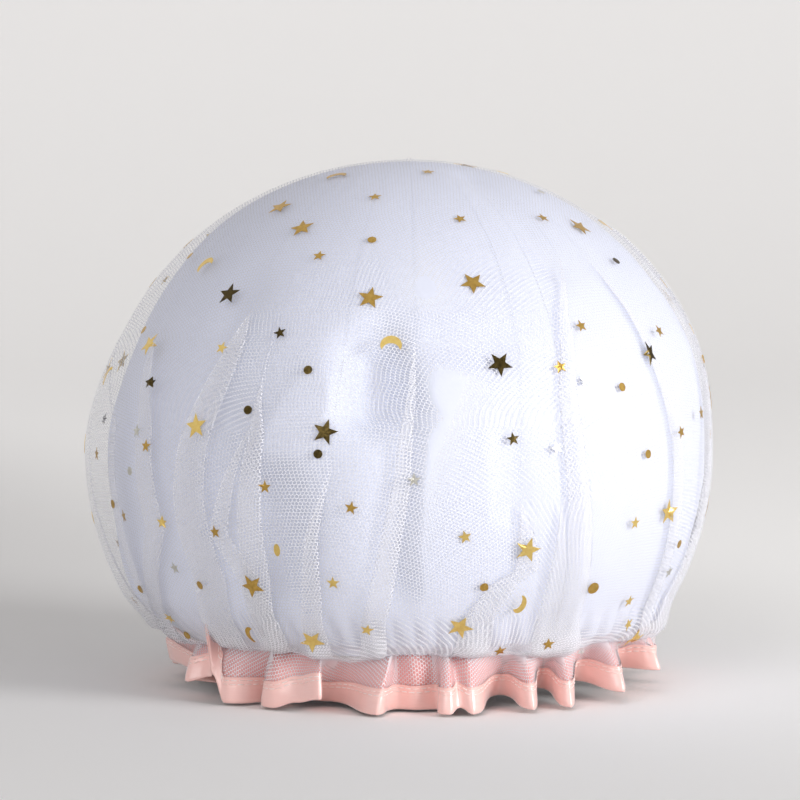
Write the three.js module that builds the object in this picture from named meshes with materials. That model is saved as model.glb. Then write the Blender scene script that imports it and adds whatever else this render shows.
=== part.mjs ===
// A double-layer shower cap, puffed out as it is worn and standing on its ruffle. A net cover with
// foil motifs lies over a white waterproof lining. Both are gathered on an elastic that runs in a satin
// casing, and the ruffle below it is net outside and satin inside, bound at the hem with satin ribbon.
// Lengths are millimetres, +Z is up, and the origin is on the surface that the hem stands on, under the
// crown.

import * as THREE from "three";

// The puffed dome. Its belly is fuller than an ellipse, which has a fullness of 2.
const CAP_HEIGHT = 200;
const EQUATOR_RADIUS = 119;
const EQUATOR_HEIGHT = 89;
const GATHER_RADIUS = 90;
const BELLY_FULLNESS = 2.7;

// The casing that holds the elastic, and the ruffle under it.
const RUFFLE_HEIGHT = 17;
const RUFFLE_FLARE = 3.5;
const RIBBON_WIDTH = 9.5;
const ELASTIC_WIDTH = 6;
const ELASTIC_THICKNESS = 0.8;
const ELASTIC_OVERLAP = 14;
const CASING_EASE = 0.5;

// Cloth, thread and foil.
const NET_THICKNESS = 0.4;
const LINING_THICKNESS = 0.3;
const SATIN_THICKNESS = 0.35;
const LAYER_GAP = 0.3;
const THREAD_DIAMETER = 0.5;
const STITCH_INSET = 1.2;
const NEEDLE_GAP = 1.4;
const TACK_WIDTH = 2.4;
const FOIL_THICKNESS = 0.2;

// Folds. A fold of the dome runs down into each lobe of the ruffle, and a broad one of the lining into
// every other. The lining lies close under the net in front, and hangs slack at the left and the back.
const LOBES = 24;
const RUFFLE_DEPTH = 6;
const DOME_FOLD_DEPTH = 2.2;
const GATHER_FOLD_DEPTH = 0.6;
const LINING_FOLDS = LOBES / 2;
const LINING_FOLD_DEPTH = 1.5;
const LINING_GAP = 1.2;
const LEFT_SLACK = 5;
const BACK_SLACK = 4;
const SLACK_FOCUS = 4;
const FOLD_UNEVEN_SHARE = 0.22;
const FOLD_UNEVEN_TURNS = 3;
const FOLD_START_SHARE = 0.42;
const FOLD_FULL_SHARE = 0.8;
const SLACK_START_SHARE = 0.2;
const SLACK_FULL_SHARE = 0.53;
const SLACK_END_SHARE = 0.8;

// Foil motifs, by the size of each across its points or its tips.
const LARGE_STAR = 9.5;
const SMALL_STAR = 5;
const CRESCENT = 8;
const LARGE_DOT = 4.6;
const SMALL_DOT = 3.2;
const STAR_POINTS = 5;
const STAR_WAIST_SHARE = 0.45;
const CRESCENT_BITE_SHARE = 0.42;
const CRESCENT_BITE_RADIUS_SHARE = 0.86;

// Steps round the cap where it is smooth, folded and lobed.
const CROWN_STEPS = LOBES;
const DOME_STEPS = 2 * LOBES;
const RUFFLE_STEPS = 4 * LOBES;
const MOTIF_STEPS = 10;
const SEAT_RINGS = 12;

const FULL_TURN = 2 * Math.PI;
const CASING_TOP = RUFFLE_HEIGHT + ELASTIC_WIDTH + 2 * CASING_EASE;
const CROWN_RISE = CAP_HEIGHT - EQUATOR_HEIGHT;
const BELLY_DROP = EQUATOR_HEIGHT - CASING_TOP;

// A superellipse's other share, where one share of its size is given: its width at a height, or the
// reverse.
const fullShare = (share) => (1 - share ** BELLY_FULLNESS) ** (1 / BELLY_FULLNESS);
const BELLY_DEPTH = BELLY_DROP / fullShare(GATHER_RADIUS / EQUATOR_RADIUS);

// The cloth's run from the crown: 0 is the crown, 1 the casing's top, 2 its foot and 3 the hem.
const EQUATOR_RUN = 0.6;
const CASING_RUN = 1;
const RUFFLE_RUN = 2;
const runAtHeight = (height) => RUFFLE_RUN + 1 - height / RUFFLE_HEIGHT;
const RIBBON_RUN = runAtHeight(RIBBON_WIDTH);
const FLOOR_RUN = runAtHeight(0);
const HEM_RUN = runAtHeight(SATIN_THICKNESS + LAYER_GAP);

const CROWN_RUNS = [0.12, 0.25];
const DOME_RUNS = [0.38, 0.5, EQUATOR_RUN, 0.72, 0.84, 0.93, CASING_RUN];
const UPPER_ROWS = [
  ...CROWN_RUNS.map((run) => ({ run, steps: CROWN_STEPS })),
  ...DOME_RUNS.map((run) => ({ run, steps: DOME_STEPS })),
];
const CASING_FOOT_ROW = { run: RUFFLE_RUN, steps: DOME_STEPS };
const RUFFLE_ROWS = [RIBBON_RUN, HEM_RUN].map((run) => ({ run, steps: RUFFLE_STEPS }));

// Depths below the net's outer face, in the order of the layers.
const LINING_DEPTH = NET_THICKNESS + LAYER_GAP;
const ELASTIC_STEP = ELASTIC_THICKNESS + LAYER_GAP;
const ELASTIC_DEPTH = LINING_DEPTH + LINING_THICKNESS + GATHER_FOLD_DEPTH + LAYER_GAP;
const OVERLAP_TURN = ELASTIC_OVERLAP / GATHER_RADIUS;
const ELASTIC_TURNS = 1 + OVERLAP_TURN / FULL_TURN;
const ELASTIC_INNER_DEPTH = ELASTIC_DEPTH + ELASTIC_STEP * ELASTIC_TURNS + ELASTIC_THICKNESS;
const TACK_DEPTH = ELASTIC_INNER_DEPTH + LAYER_GAP;
const CASING_LINING_DEPTH = TACK_DEPTH + THREAD_DIAMETER + LAYER_GAP + GATHER_FOLD_DEPTH;
const FACING_DEPTH = NET_THICKNESS + LAYER_GAP;

const MATERIALS = {
  net: { color: 0xeef0f8, roughness: 0.75, metalness: 0, transparent: true, opacity: 0.45 },
  lining: { color: 0xf3f4fb, roughness: 0.5, metalness: 0 },
  satin: { color: 0xf6b7ae, roughness: 0.35, metalness: 0 },
  elastic: { color: 0xf4f4f2, roughness: 0.85, metalness: 0 },
  thread: { color: 0xf9d3cc, roughness: 0.6, metalness: 0 },
  foil: { color: 0xd9b24c, roughness: 0.2, metalness: 1 },
};

const smooth = (low, high, value) => THREE.MathUtils.smoothstep(value, low, high);
const mix = THREE.MathUtils.lerp;

// The radius and height of the cap's outer line at a run, with its outward direction.
function meridian(run) {
  if (run <= EQUATOR_RUN) {
    const angle = ((run / EQUATOR_RUN) * Math.PI) / 2;
    const [across, up] = [Math.sin(angle), Math.cos(angle)];
    return {
      radius: EQUATOR_RADIUS * across,
      height: EQUATOR_HEIGHT + CROWN_RISE * up,
      outward: new THREE.Vector2(CROWN_RISE * across, EQUATOR_RADIUS * up).normalize(),
    };
  }
  if (run <= CASING_RUN) {
    const drop = (BELLY_DROP * (run - EQUATOR_RUN)) / (CASING_RUN - EQUATOR_RUN);
    const width = fullShare(drop / BELLY_DEPTH);
    const slope = (drop / BELLY_DEPTH) ** (BELLY_FULLNESS - 1) / BELLY_DEPTH;
    const outward = new THREE.Vector2(width ** (BELLY_FULLNESS - 1) / EQUATOR_RADIUS, -slope).normalize();
    return { radius: EQUATOR_RADIUS * width, height: EQUATOR_HEIGHT - drop, outward };
  }
  if (run <= RUFFLE_RUN) {
    const height = mix(CASING_TOP, RUFFLE_HEIGHT, run - CASING_RUN);
    return { radius: GATHER_RADIUS, height, outward: new THREE.Vector2(1, 0) };
  }
  const swing = ((run - RUFFLE_RUN) * Math.PI) / 2;
  const slope = (RUFFLE_FLARE * Math.PI * Math.cos(swing)) / 2;
  return {
    radius: GATHER_RADIUS + RUFFLE_FLARE * Math.sin(swing),
    height: RUFFLE_HEIGHT * (FLOOR_RUN - run),
    outward: new THREE.Vector2(RUFFLE_HEIGHT, slope).normalize(),
  };
}

// How far the net stands out of its plain outline: folds that deepen down the dome, and lobes that open
// in the ruffle with two steps on each crest and two in each valley.
function netFold(turn, run) {
  const uneven = 1 + FOLD_UNEVEN_SHARE * Math.cos(FOLD_UNEVEN_TURNS * turn);
  if (run > RUFFLE_RUN) {
    const opened = Math.sin(((run - RUFFLE_RUN) * Math.PI) / 2);
    const lobe = Math.SQRT2 * Math.cos(LOBES * turn - Math.PI / 4);
    return lobe * mix(GATHER_FOLD_DEPTH, RUFFLE_DEPTH * uneven, opened);
  }
  const wave = Math.cos(LOBES * turn);
  const grown = smooth(FOLD_START_SHARE, FOLD_FULL_SHARE, run);
  const drawn = smooth(FOLD_FULL_SHARE, CASING_RUN, run);
  return wave * mix(DOME_FOLD_DEPTH * uneven * grown, GATHER_FOLD_DEPTH, drawn);
}

// The lining shares the net's folds. Where it hangs slack it has broad ones of its own, and it meets the
// net's gathers at the casing. The cap's left is at -X and its back at +Y.
function liningFold(turn, run) {
  const drawnIn = smooth(SLACK_END_SHARE, CASING_RUN, run);
  const hanging = smooth(SLACK_START_SHARE, SLACK_FULL_SHARE, run) * (1 - drawnIn);
  const leftward = Math.max(-Math.cos(turn), 0) ** SLACK_FOCUS;
  const rearward = (1 + Math.sin(turn)) / 2;
  const broad = (1 - Math.cos(LINING_FOLDS * turn)) / 2;
  const slack = LEFT_SLACK * leftward + BACK_SLACK * rearward + LINING_FOLD_DEPTH * broad;
  return netFold(turn, run) - LINING_GAP * (1 - drawnIn) - slack * hanging;
}

// A point of a cloth with the given folds, sunk by a depth. The dome's layers are spaced along its own
// outward direction, and those of the casing and ruffle level, across the lobes.
function clothPoint(fold, turn, run, depth) {
  const place = (angle) => {
    const line = meridian(run);
    const out = fold(angle, run);
    const radius = line.radius + line.outward.x * out;
    const height = line.height + line.outward.y * out;
    return new THREE.Vector3(radius * Math.cos(angle), radius * Math.sin(angle), height);
  };
  const point = place(turn);
  if (run < CASING_RUN) {
    const { outward } = meridian(run);
    const away = new THREE.Vector3(outward.x * Math.cos(turn), outward.x * Math.sin(turn), outward.y);
    return point.addScaledVector(away, -depth);
  }
  const step = FULL_TURN / RUFFLE_STEPS;
  const along = place(turn + step).sub(place(turn - step));
  const across = new THREE.Vector3(along.y, -along.x, 0).normalize();
  return point.addScaledVector(across, -depth);
}

const ring = (fold, { run, steps }, depth) =>
  Array.from({ length: steps }, (_, i) => clothPoint(fold, (i * FULL_TURN) / steps, run, depth));

// Collects the triangles of one closed body.
class Body {
  corners = [];

  triangle(a, b, c) {
    this.corners.push(a, b, c);
  }

  // The strip between two rings, the lower one at least as finely stepped. It faces out, or in if turned.
  strip(upper, lower, turned = false) {
    const face = (a, b, c) => (turned ? this.triangle(a, c, b) : this.triangle(a, b, c));
    const share = lower.length / upper.length;
    const middle = Math.ceil(share / 2);
    upper.forEach((a, i) => {
      const next = upper[(i + 1) % upper.length];
      const at = (k) => lower[(i * share + k) % lower.length];
      for (let k = 0; k < share; k++) face(k < middle ? a : next, at(k), at(k + 1));
      face(a, at(middle), next);
    });
  }

  // The fan that closes a ring to one point over it.
  fan(top, edge, turned = false) {
    edge.forEach((a, i) => {
      const b = edge[(i + 1) % edge.length];
      if (turned) this.triangle(top, b, a);
      else this.triangle(top, a, b);
    });
  }

  geometry() {
    const position = new THREE.Float32BufferAttribute(this.corners.flatMap((p) => p.toArray()), 3);
    const made = new THREE.BufferGeometry().setAttribute("position", position);
    made.computeVertexNormals();
    return made;
  }
}

// A layer of cloth from row to row. Each row gives its own depth, and the first closes at the crown if
// domed.
function clothLayer(fold, rows, thickness, domed) {
  const body = new Body();
  const outside = rows.map((row) => ring(fold, row, row.depth));
  const inside = rows.map((row) => ring(fold, row, row.depth + thickness));
  for (let i = 1; i < rows.length; i++) {
    body.strip(outside[i - 1], outside[i]);
    body.strip(inside[i - 1], inside[i], true);
  }
  if (domed) {
    const crown = clothPoint(fold, 0, 0, rows[0].depth);
    body.fan(crown, outside[0]);
    body.fan(crown.clone().setZ(crown.z - thickness), inside[0], true);
  } else {
    body.strip(inside[0], outside[0]);
  }
  body.strip(outside.at(-1), inside.at(-1));
  return body.geometry();
}

// A strip of the same section all the way along, closed into a loop or with a face at each end. Each
// section is a list of points that goes down its outside and up its inside.
function swept(sections, closed) {
  const body = new Body();
  const ahead = closed ? [...sections.slice(1), sections[0]] : sections.slice(1);
  ahead.forEach((next, i) => {
    sections[i].forEach((a, k) => {
      const b = sections[i][(k + 1) % next.length];
      const c = next[(k + 1) % next.length];
      body.triangle(a, b, c);
      body.triangle(a, c, next[k]);
    });
  });
  if (!closed) {
    const [a, b, c, d] = sections[0];
    body.triangle(a, c, b);
    body.triangle(a, d, c);
    const [e, f, g, h] = sections.at(-1);
    body.triangle(e, f, g);
    body.triangle(e, g, h);
  }
  return body.geometry();
}

// The ribbon folded over the hem: a leaf outside the net, one inside the facing, and the fold that
// stands on the table.
function foldedRibbon() {
  const outer = -LAYER_GAP;
  const inner = FACING_DEPTH + SATIN_THICKNESS + LAYER_GAP;
  const at = (run, depth) => ring(netFold, { run, steps: RUFFLE_STEPS }, depth);
  const leaf = (footRun, depth) => [at(RIBBON_RUN, depth), at(footRun, depth)];
  const faces = [outer - SATIN_THICKNESS, inner + SATIN_THICKNESS];
  const [outerFace, innerFace] = faces.map((depth) => leaf(FLOOR_RUN, depth));
  const [outerBack, innerBack] = [outer, inner].map((d) => leaf(runAtHeight(SATIN_THICKNESS), d));
  const body = new Body();
  body.strip(...outerFace);
  body.strip(...outerBack, true);
  body.strip(...innerBack);
  body.strip(...innerFace, true);
  body.strip(outerBack[0], outerFace[0]);
  body.strip(innerFace[0], innerBack[0]);
  body.strip(innerBack[1], outerBack[1]);
  body.strip(outerFace[1], innerFace[1]);
  return body.geometry();
}

// A thread that lies on the cloth, a share of the way from one row to the next, its centre at a depth.
// It has a step where it meets each edge of the cloth's triangles.
function threadLoop(rows, share, depth) {
  const radius = THREAD_DIAMETER / 2;
  const ringsAt = (more) => rows.map((row) => ring(netFold, row, depth + more));
  const [centre, outer, inner] = [0, -radius, radius].map(ringsAt);
  const between = ([upper, lower], i, foot) => upper[i].clone().lerp(lower[foot % lower.length], share);
  const section = (i, foot) => {
    const middle = between(centre, i, foot);
    const [above, below] = [radius, -radius].map((rise) => middle.clone().setZ(middle.z + rise));
    return [above, between(outer, i, foot), below, between(inner, i, foot)];
  };
  return swept(centre[0].flatMap((_, i) => [section(i, i), section(i, i + 1)]), true);
}

// The elastic is one strip whose ends lie over each other, so it closes in by its own thickness in a turn.
function elasticBand() {
  const turns = FULL_TURN * ELASTIC_TURNS;
  const steps = Math.ceil((DOME_STEPS * turns) / FULL_TURN);
  const foot = RUFFLE_HEIGHT + CASING_EASE;
  const sections = Array.from({ length: steps + 1 }, (_, i) => {
    const turn = Math.min((i * FULL_TURN) / DOME_STEPS, turns);
    const outer = GATHER_RADIUS - ELASTIC_DEPTH - (ELASTIC_STEP * turn) / FULL_TURN;
    const at = (radius, height) =>
      new THREE.Vector3(radius * Math.cos(turn), radius * Math.sin(turn), height);
    const inner = outer - ELASTIC_THICKNESS;
    return [
      at(outer, foot + ELASTIC_WIDTH),
      at(outer, foot),
      at(inner, foot),
      at(inner, foot + ELASTIC_WIDTH),
    ];
  });
  return swept(sections, false);
}

const starOutline = (size) => {
  const shape = new THREE.Shape();
  for (let i = 0; i < 2 * STAR_POINTS; i++) {
    const radius = (i % 2 ? STAR_WAIST_SHARE : 1) * (size / 2);
    const angle = Math.PI / 2 + (i * Math.PI) / STAR_POINTS;
    if (i) shape.lineTo(radius * Math.cos(angle), radius * Math.sin(angle));
    else shape.moveTo(radius * Math.cos(angle), radius * Math.sin(angle));
  }
  return shape;
};

const dotOutline = (size) => new THREE.Shape().absarc(0, 0, size / 2, 0, FULL_TURN, false);

// A moon: the outer arc from tip to tip, and a smaller circle's arc back.
const crescentOutline = (size) => {
  const outer = size / 2;
  const bite = CRESCENT_BITE_RADIUS_SHARE * outer;
  const shift = CRESCENT_BITE_SHARE * outer;
  const tipX = (outer ** 2 - bite ** 2 + shift ** 2) / (2 * shift);
  const tipY = Math.sqrt(outer ** 2 - tipX ** 2);
  const shape = new THREE.Shape();
  shape.absarc(0, 0, outer, Math.atan2(tipY, tipX), Math.atan2(-tipY, tipX), false);
  shape.absarc(shift, 0, bite, Math.atan2(-tipY, tipX - shift), Math.atan2(tipY, tipX - shift), true);
  return shape;
};

const MOTIFS = {
  large_star: { size: LARGE_STAR, outline: starOutline },
  small_star: { size: SMALL_STAR, outline: starOutline },
  crescent: { size: CRESCENT, outline: crescentOutline },
  large_dot: { size: LARGE_DOT, outline: dotOutline },
  small_dot: { size: SMALL_DOT, outline: dotOutline },
};

// The motifs' places as the photograph shows them, in its pixels from the left and the top, and each
// one's turn in degrees.
const MOTIF_PIXELS = [
  ["large_star", 302, 228, 20],
  ["large_star", 280, 207, 10],
  ["large_star", 229, 294, 5],
  ["large_star", 370, 298, -8],
  ["large_star", 149, 344, -20],
  ["large_star", 325, 432, -15],
  ["large_star", 196, 426, 10],
  ["large_star", 473, 283, 30],
  ["large_star", 580, 227, 15],
  ["large_star", 500, 364, 36],
  ["large_star", 252, 586, 25],
  ["large_star", 528, 550, -12],
  ["large_star", 668, 512, 3],
  ["large_star", 460, 627, -20],
  ["large_star", 312, 641, 30],
  ["large_star", 650, 353, 20],
  ["crescent", 392, 345, 115],
  ["crescent", 205, 267, 130],
  ["crescent", 336, 177, 120],
  ["crescent", 107, 376, 10],
  ["crescent", 253, 635, 20],
  ["crescent", 518, 603, -145],
  ["small_star", 319, 256, 0],
  ["small_star", 375, 197, 10],
  ["small_star", 280, 333, 20],
  ["small_star", 222, 348, -10],
  ["small_star", 152, 383, 12],
  ["small_star", 146, 446, 0],
  ["small_star", 460, 219, 15],
  ["small_star", 543, 218, -8],
  ["small_star", 560, 367, 10],
  ["small_star", 513, 439, 8],
  ["small_star", 681, 432, 20],
  ["small_star", 659, 331, 15],
  ["small_star", 351, 508, -12],
  ["small_star", 333, 583, 0],
  ["small_star", 215, 532, 8],
  ["small_star", 163, 522, -6],
  ["small_star", 465, 537, 14],
  ["small_star", 635, 523, 0],
  ["small_star", 629, 601, 10],
  ["small_star", 367, 630, -15],
  ["large_dot", 593, 588, 0],
  ["large_dot", 277, 550, 0],
  ["small_dot", 248, 410, 0],
  ["small_dot", 308, 370, 0],
  ["small_dot", 318, 454, 0],
  ["small_dot", 372, 240, 0],
  ["small_dot", 648, 454, 0],
  ["small_dot", 616, 261, 0],
];

// The photograph's viewpoint and the dome as it shows it, as shares of the dome's radius, with heights
// from its widest level.
const PHOTO_CENTRE_PIXELS = { x: 401, y: 400 };
const PHOTO_PIXELS_PER_RADIAN = 3264;
const VIEW_DISTANCE_SHARE = 10.5;
const VIEW_RISE_SHARE = 0.78;
const AIM_RISE_SHARE = 0.15;
const PHOTO_CROWN_SHARE = 0.933;
const PHOTO_BELLY_SHARE = 0.546;
const PHOTO_GATHER_SHARE = 0.756;
const HALVINGS = 24;

// The photographed dome's width at a height, both as shares of its radius, and the cloth's run there.
function photoDome(height) {
  if (height > 0) {
    const share = Math.min(height / PHOTO_CROWN_SHARE, 1);
    return { width: Math.sqrt(1 - share ** 2), run: (EQUATOR_RUN * Math.acos(share)) / (Math.PI / 2) };
  }
  const share = Math.min(-height / PHOTO_BELLY_SHARE, 1);
  const width = fullShare(share * fullShare(PHOTO_GATHER_SHARE));
  return { width, run: mix(EQUATOR_RUN, CASING_RUN, share) };
}

// The turn and run of the dome where the photograph shows a pixel, or of its edge where the pixel is
// just beside it.
function placeAtPixel(pixelX, pixelY) {
  const eye = new THREE.Vector3(0, -VIEW_DISTANCE_SHARE, VIEW_RISE_SHARE);
  const ahead = new THREE.Vector3(0, 0, AIM_RISE_SHARE).sub(eye).normalize();
  const right = new THREE.Vector3(1, 0, 0);
  const above = new THREE.Vector3().crossVectors(right, ahead);
  const ray = ahead.clone();
  ray.addScaledVector(right, (pixelX - PHOTO_CENTRE_PIXELS.x) / PHOTO_PIXELS_PER_RADIAN);
  ray.addScaledVector(above, (PHOTO_CENTRE_PIXELS.y - pixelY) / PHOTO_PIXELS_PER_RADIAN);
  const pointAlong = (share) => eye.clone().addScaledVector(ray, (share * -eye.y) / ray.y);
  let [outside, inside] = [0, 1];
  for (let i = 0; i < HALVINGS; i++) {
    const share = (outside + inside) / 2;
    const { x, y, z } = pointAlong(share);
    if (Math.hypot(x, y) > photoDome(z).width) outside = share;
    else inside = share;
  }
  const { x, y, z } = pointAlong(inside);
  return { turn: Math.atan2(y, x), run: photoDome(z).run };
}

// Lays a motif flat on the highest of the net's folds and stitches under it.
function motifMesh(kind, name, turn, run, spin, carriers) {
  const { size, outline } = MOTIFS[kind];
  const { outward } = meridian(run);
  const centre = clothPoint(() => 0, turn, run, 0);
  const away = new THREE.Vector3(outward.x * Math.cos(turn), outward.x * Math.sin(turn), outward.y);
  const along = new THREE.Vector3(-Math.sin(turn), Math.cos(turn), 0);
  const up = new THREE.Vector3().crossVectors(away, along);
  const lift = size + DOME_FOLD_DEPTH;
  const caster = new THREE.Raycaster();
  let highest = -lift;
  for (let k = 0; k <= SEAT_RINGS; k++) {
    for (let i = 0; i < MOTIF_STEPS; i++) {
      const reach = (k * size) / (2 * SEAT_RINGS);
      const angle = (i * FULL_TURN) / MOTIF_STEPS;
      const from = centre.clone().addScaledVector(along, reach * Math.cos(angle));
      from.addScaledVector(up, reach * Math.sin(angle)).addScaledVector(away, lift);
      caster.set(from, away.clone().negate());
      const hit = caster.intersectObjects(carriers)[0];
      if (hit) highest = Math.max(highest, lift - hit.distance);
    }
  }
  const geometry = new THREE.ExtrudeGeometry(outline(size), {
    depth: FOIL_THICKNESS,
    bevelEnabled: false,
    curveSegments: MOTIF_STEPS,
  });
  const mesh = new THREE.Mesh(geometry, new THREE.MeshStandardMaterial(MATERIALS.foil));
  const basis = new THREE.Matrix4().makeBasis(along, up, away);
  mesh.quaternion.setFromRotationMatrix(basis);
  mesh.rotateZ(THREE.MathUtils.degToRad(spin));
  mesh.position.copy(centre).addScaledVector(away, highest + LAYER_GAP);
  mesh.name = name;
  return mesh;
}

function named(name, finish, geometry) {
  const mesh = new THREE.Mesh(geometry, new THREE.MeshStandardMaterial(MATERIALS[finish]));
  mesh.name = name;
  return mesh;
}

const atDepth = (rows, depth) => rows.map((row) => ({ ...row, depth }));

const cap = new THREE.Group();

const net = named(
  "outer_net",
  "net",
  clothLayer(netFold, atDepth([...UPPER_ROWS, CASING_FOOT_ROW, ...RUFFLE_ROWS], 0), NET_THICKNESS, true),
);
net.material.side = THREE.DoubleSide;
cap.add(net);

cap.add(
  named(
    "inner_lining",
    "lining",
    clothLayer(liningFold, atDepth([...UPPER_ROWS, CASING_FOOT_ROW], LINING_DEPTH), LINING_THICKNESS, true),
  ),
);

const casingRows = [{ run: CASING_RUN, steps: DOME_STEPS }, CASING_FOOT_ROW];
const facingRows = [...atDepth(casingRows, CASING_LINING_DEPTH), ...atDepth(RUFFLE_ROWS, FACING_DEPTH)];
cap.add(named("satin_facing", "satin", clothLayer(netFold, facingRows, SATIN_THICKNESS, false)));

cap.add(named("ribbon_binding", "satin", foldedRibbon()));

cap.add(named("elastic_band", "elastic", elasticBand()));

// The bar of thread that holds the elastic's overlapped ends together.
const tackTurn = OVERLAP_TURN / 2;
const tack = named(
  "elastic_tack",
  "thread",
  new THREE.BoxGeometry(THREAD_DIAMETER, TACK_WIDTH, ELASTIC_WIDTH - 2 * STITCH_INSET),
);
const tackRadius = GATHER_RADIUS - TACK_DEPTH - THREAD_DIAMETER / 2;
tack.position.set(
  tackRadius * Math.cos(tackTurn),
  tackRadius * Math.sin(tackTurn),
  RUFFLE_HEIGHT + CASING_EASE + ELASTIC_WIDTH / 2,
);
tack.rotation.z = tackTurn;
cap.add(tack);

// Rows of stitching: two that close the casing round the elastic, and a twin row that holds the ribbon on
// the hem.
const threadDepth = -(LAYER_GAP + THREAD_DIAMETER / 2);
const casingShare = STITCH_INSET / (CASING_TOP - RUFFLE_HEIGHT);
const casingThreads = Object.entries({ upper: casingShare, lower: 1 - casingShare }).map(([place, share]) =>
  named(`casing_thread_${place}`, "thread", threadLoop(casingRows, share, threadDepth)),
);
cap.add(...casingThreads);
const ribbonRows = [RIBBON_RUN, FLOOR_RUN].map((run) => ({ run, steps: RUFFLE_STEPS }));
const ribbonThreadDepth = threadDepth - LAYER_GAP - SATIN_THICKNESS;
const ribbonShares = {
  upper: STITCH_INSET / RIBBON_WIDTH,
  lower: (STITCH_INSET + NEEDLE_GAP) / RIBBON_WIDTH,
};
for (const [place, share] of Object.entries(ribbonShares)) {
  cap.add(named(`ribbon_thread_${place}`, "thread", threadLoop(ribbonRows, share, ribbonThreadDepth)));
}

// The foil motifs, numbered by kind.
const counts = {};
for (const [kind, pixelX, pixelY, spin] of MOTIF_PIXELS) {
  counts[kind] = (counts[kind] ?? 0) + 1;
  const { turn, run } = placeAtPixel(pixelX, pixelY);
  const name = `${kind}_${String(counts[kind]).padStart(2, "0")}`;
  cap.add(motifMesh(kind, name, turn, run, spin, [net, ...casingThreads]));
}

export default cap;
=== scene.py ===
"""A bouffant shower cap: star-foiled tulle over a coated lining, standing on its satin ruffle."""

import logging
import math
from dataclasses import dataclass, field
from enum import Enum
from typing import Any, Sequence

import bpy
import numpy as np
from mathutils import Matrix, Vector
from mathutils.bvhtree import BVHTree


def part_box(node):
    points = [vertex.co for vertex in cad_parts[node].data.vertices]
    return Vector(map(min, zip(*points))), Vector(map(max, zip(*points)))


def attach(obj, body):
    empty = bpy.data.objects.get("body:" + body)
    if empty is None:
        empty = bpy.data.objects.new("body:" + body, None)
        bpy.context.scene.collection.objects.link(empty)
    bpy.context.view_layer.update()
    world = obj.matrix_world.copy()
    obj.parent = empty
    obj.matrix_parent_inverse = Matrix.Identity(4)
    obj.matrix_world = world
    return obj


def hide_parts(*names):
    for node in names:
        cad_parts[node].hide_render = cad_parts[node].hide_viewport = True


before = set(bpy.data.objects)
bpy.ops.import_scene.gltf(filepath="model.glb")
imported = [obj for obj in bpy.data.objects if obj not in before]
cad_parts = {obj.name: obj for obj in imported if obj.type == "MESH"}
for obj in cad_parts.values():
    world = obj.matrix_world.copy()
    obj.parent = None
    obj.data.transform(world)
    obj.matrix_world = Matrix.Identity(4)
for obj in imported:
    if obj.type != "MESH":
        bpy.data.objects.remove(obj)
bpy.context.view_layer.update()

LOG = logging.getLogger("shower_cap")
MM = 0.001
FULL_TURN = 2 * math.pi
SEED = 20
TINY = 1e-9
# Cloth that is gathered less or more than this looks no different.
LEAST_CLOSING = 0.9
MOST_CLOSING = 2.4
# A wave texture's phase turns by so many radians for each unit along it.
WAVE_RADIANS = 20.0

Pixel = tuple[float, float]
Span = tuple[float, float]
Waves = tuple[tuple[int, float], ...]
Faces = list[tuple[int, ...]]


def linear(colour: str) -> tuple[float, float, float, float]:
    """Turns an sRGB hex colour into Blender's linear colour.

    Args:
        colour: six hex digits, such as "F4F5FA".

    Returns:
        Linear red, green and blue, and an alpha of 1.
    """
    parts = [int(colour[i : i + 2], 16) / 255 for i in (0, 2, 4)]
    red, green, blue = (c / 12.92 if c <= 0.04045 else ((c + 0.055) / 1.055) ** 2.4 for c in parts)
    return red, green, blue, 1.0


def add_node(tree: bpy.types.NodeTree, kind: str, settings: dict[str, Any], **sockets: Any) -> bpy.types.Node:
    """Adds a shader node, sets it up and links it.

    Args:
        tree: the node tree that the node goes into.
        kind: the node's Blender type, without "ShaderNode".
        settings: the node's own properties.
        sockets: for each input, named with _ for a space or by its number as i0, i1 and so on,
            either a value or the output socket that feeds it.

    Returns:
        The new node.
    """
    node = tree.nodes.new("ShaderNode" + kind)
    for name, value in settings.items():
        setattr(node, name, value)
    for name, value in sockets.items():
        key = int(name[1:]) if name[0] == "i" and name[1:].isdigit() else name.replace("_", " ")
        if isinstance(value, bpy.types.NodeSocket):
            tree.links.new(value, node.inputs[key])
        else:
            node.inputs[key].default_value = value
    return node


def smooth_step(low: float, high: float, value: np.ndarray) -> np.ndarray:
    """Rises smoothly from 0 at low to 1 at high."""
    t = np.clip((value - low) / (high - low), 0, 1)
    return t * t * (3 - 2 * t)


def rippled(turn: np.ndarray, waves: Waves, phases: Sequence[float]) -> np.ndarray:
    """Adds up sine waves round the cap.

    Args:
        turn: each point's angle from the front.
        waves: for each wave, how often it repeats round the cap, and its depth.
        phases: each wave's phase.

    Returns:
        The waves' sum at each point.
    """
    return sum(depth * np.sin(count * turn + phase) for (count, depth), phase in zip(waves, phases))


def draw(random: np.random.Generator, span: Span) -> float:
    """Draws a number evenly from a span."""
    return float(random.uniform(*span))


def grid_faces(rows: int, columns: int) -> Faces:
    """Lists the quads of a grid that is closed round its columns.

    Args:
        rows: how many rings of points the grid has.
        columns: how many points each ring has.

    Returns:
        Quads that face outwards where the rows run down and the columns turn to the right.
    """
    faces = []
    for row in range(rows - 1):
        upper = row * columns
        lower = upper + columns
        for column in range(columns):
            after = (column + 1) % columns
            faces.append((upper + column, lower + column, lower + after, upper + after))
    return faces


def tip_faces(tip: int, columns: int) -> Faces:
    """Lists the triangles that close a grid's first row to one point at its tip."""
    return [(tip, column, (column + 1) % columns) for column in range(columns)]


def steps_round(points: np.ndarray) -> np.ndarray:
    """Gives the length of each step round rows of points that are closed."""
    return np.linalg.norm(np.roll(points, -1, axis=-2) - points, axis=-1)


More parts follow.
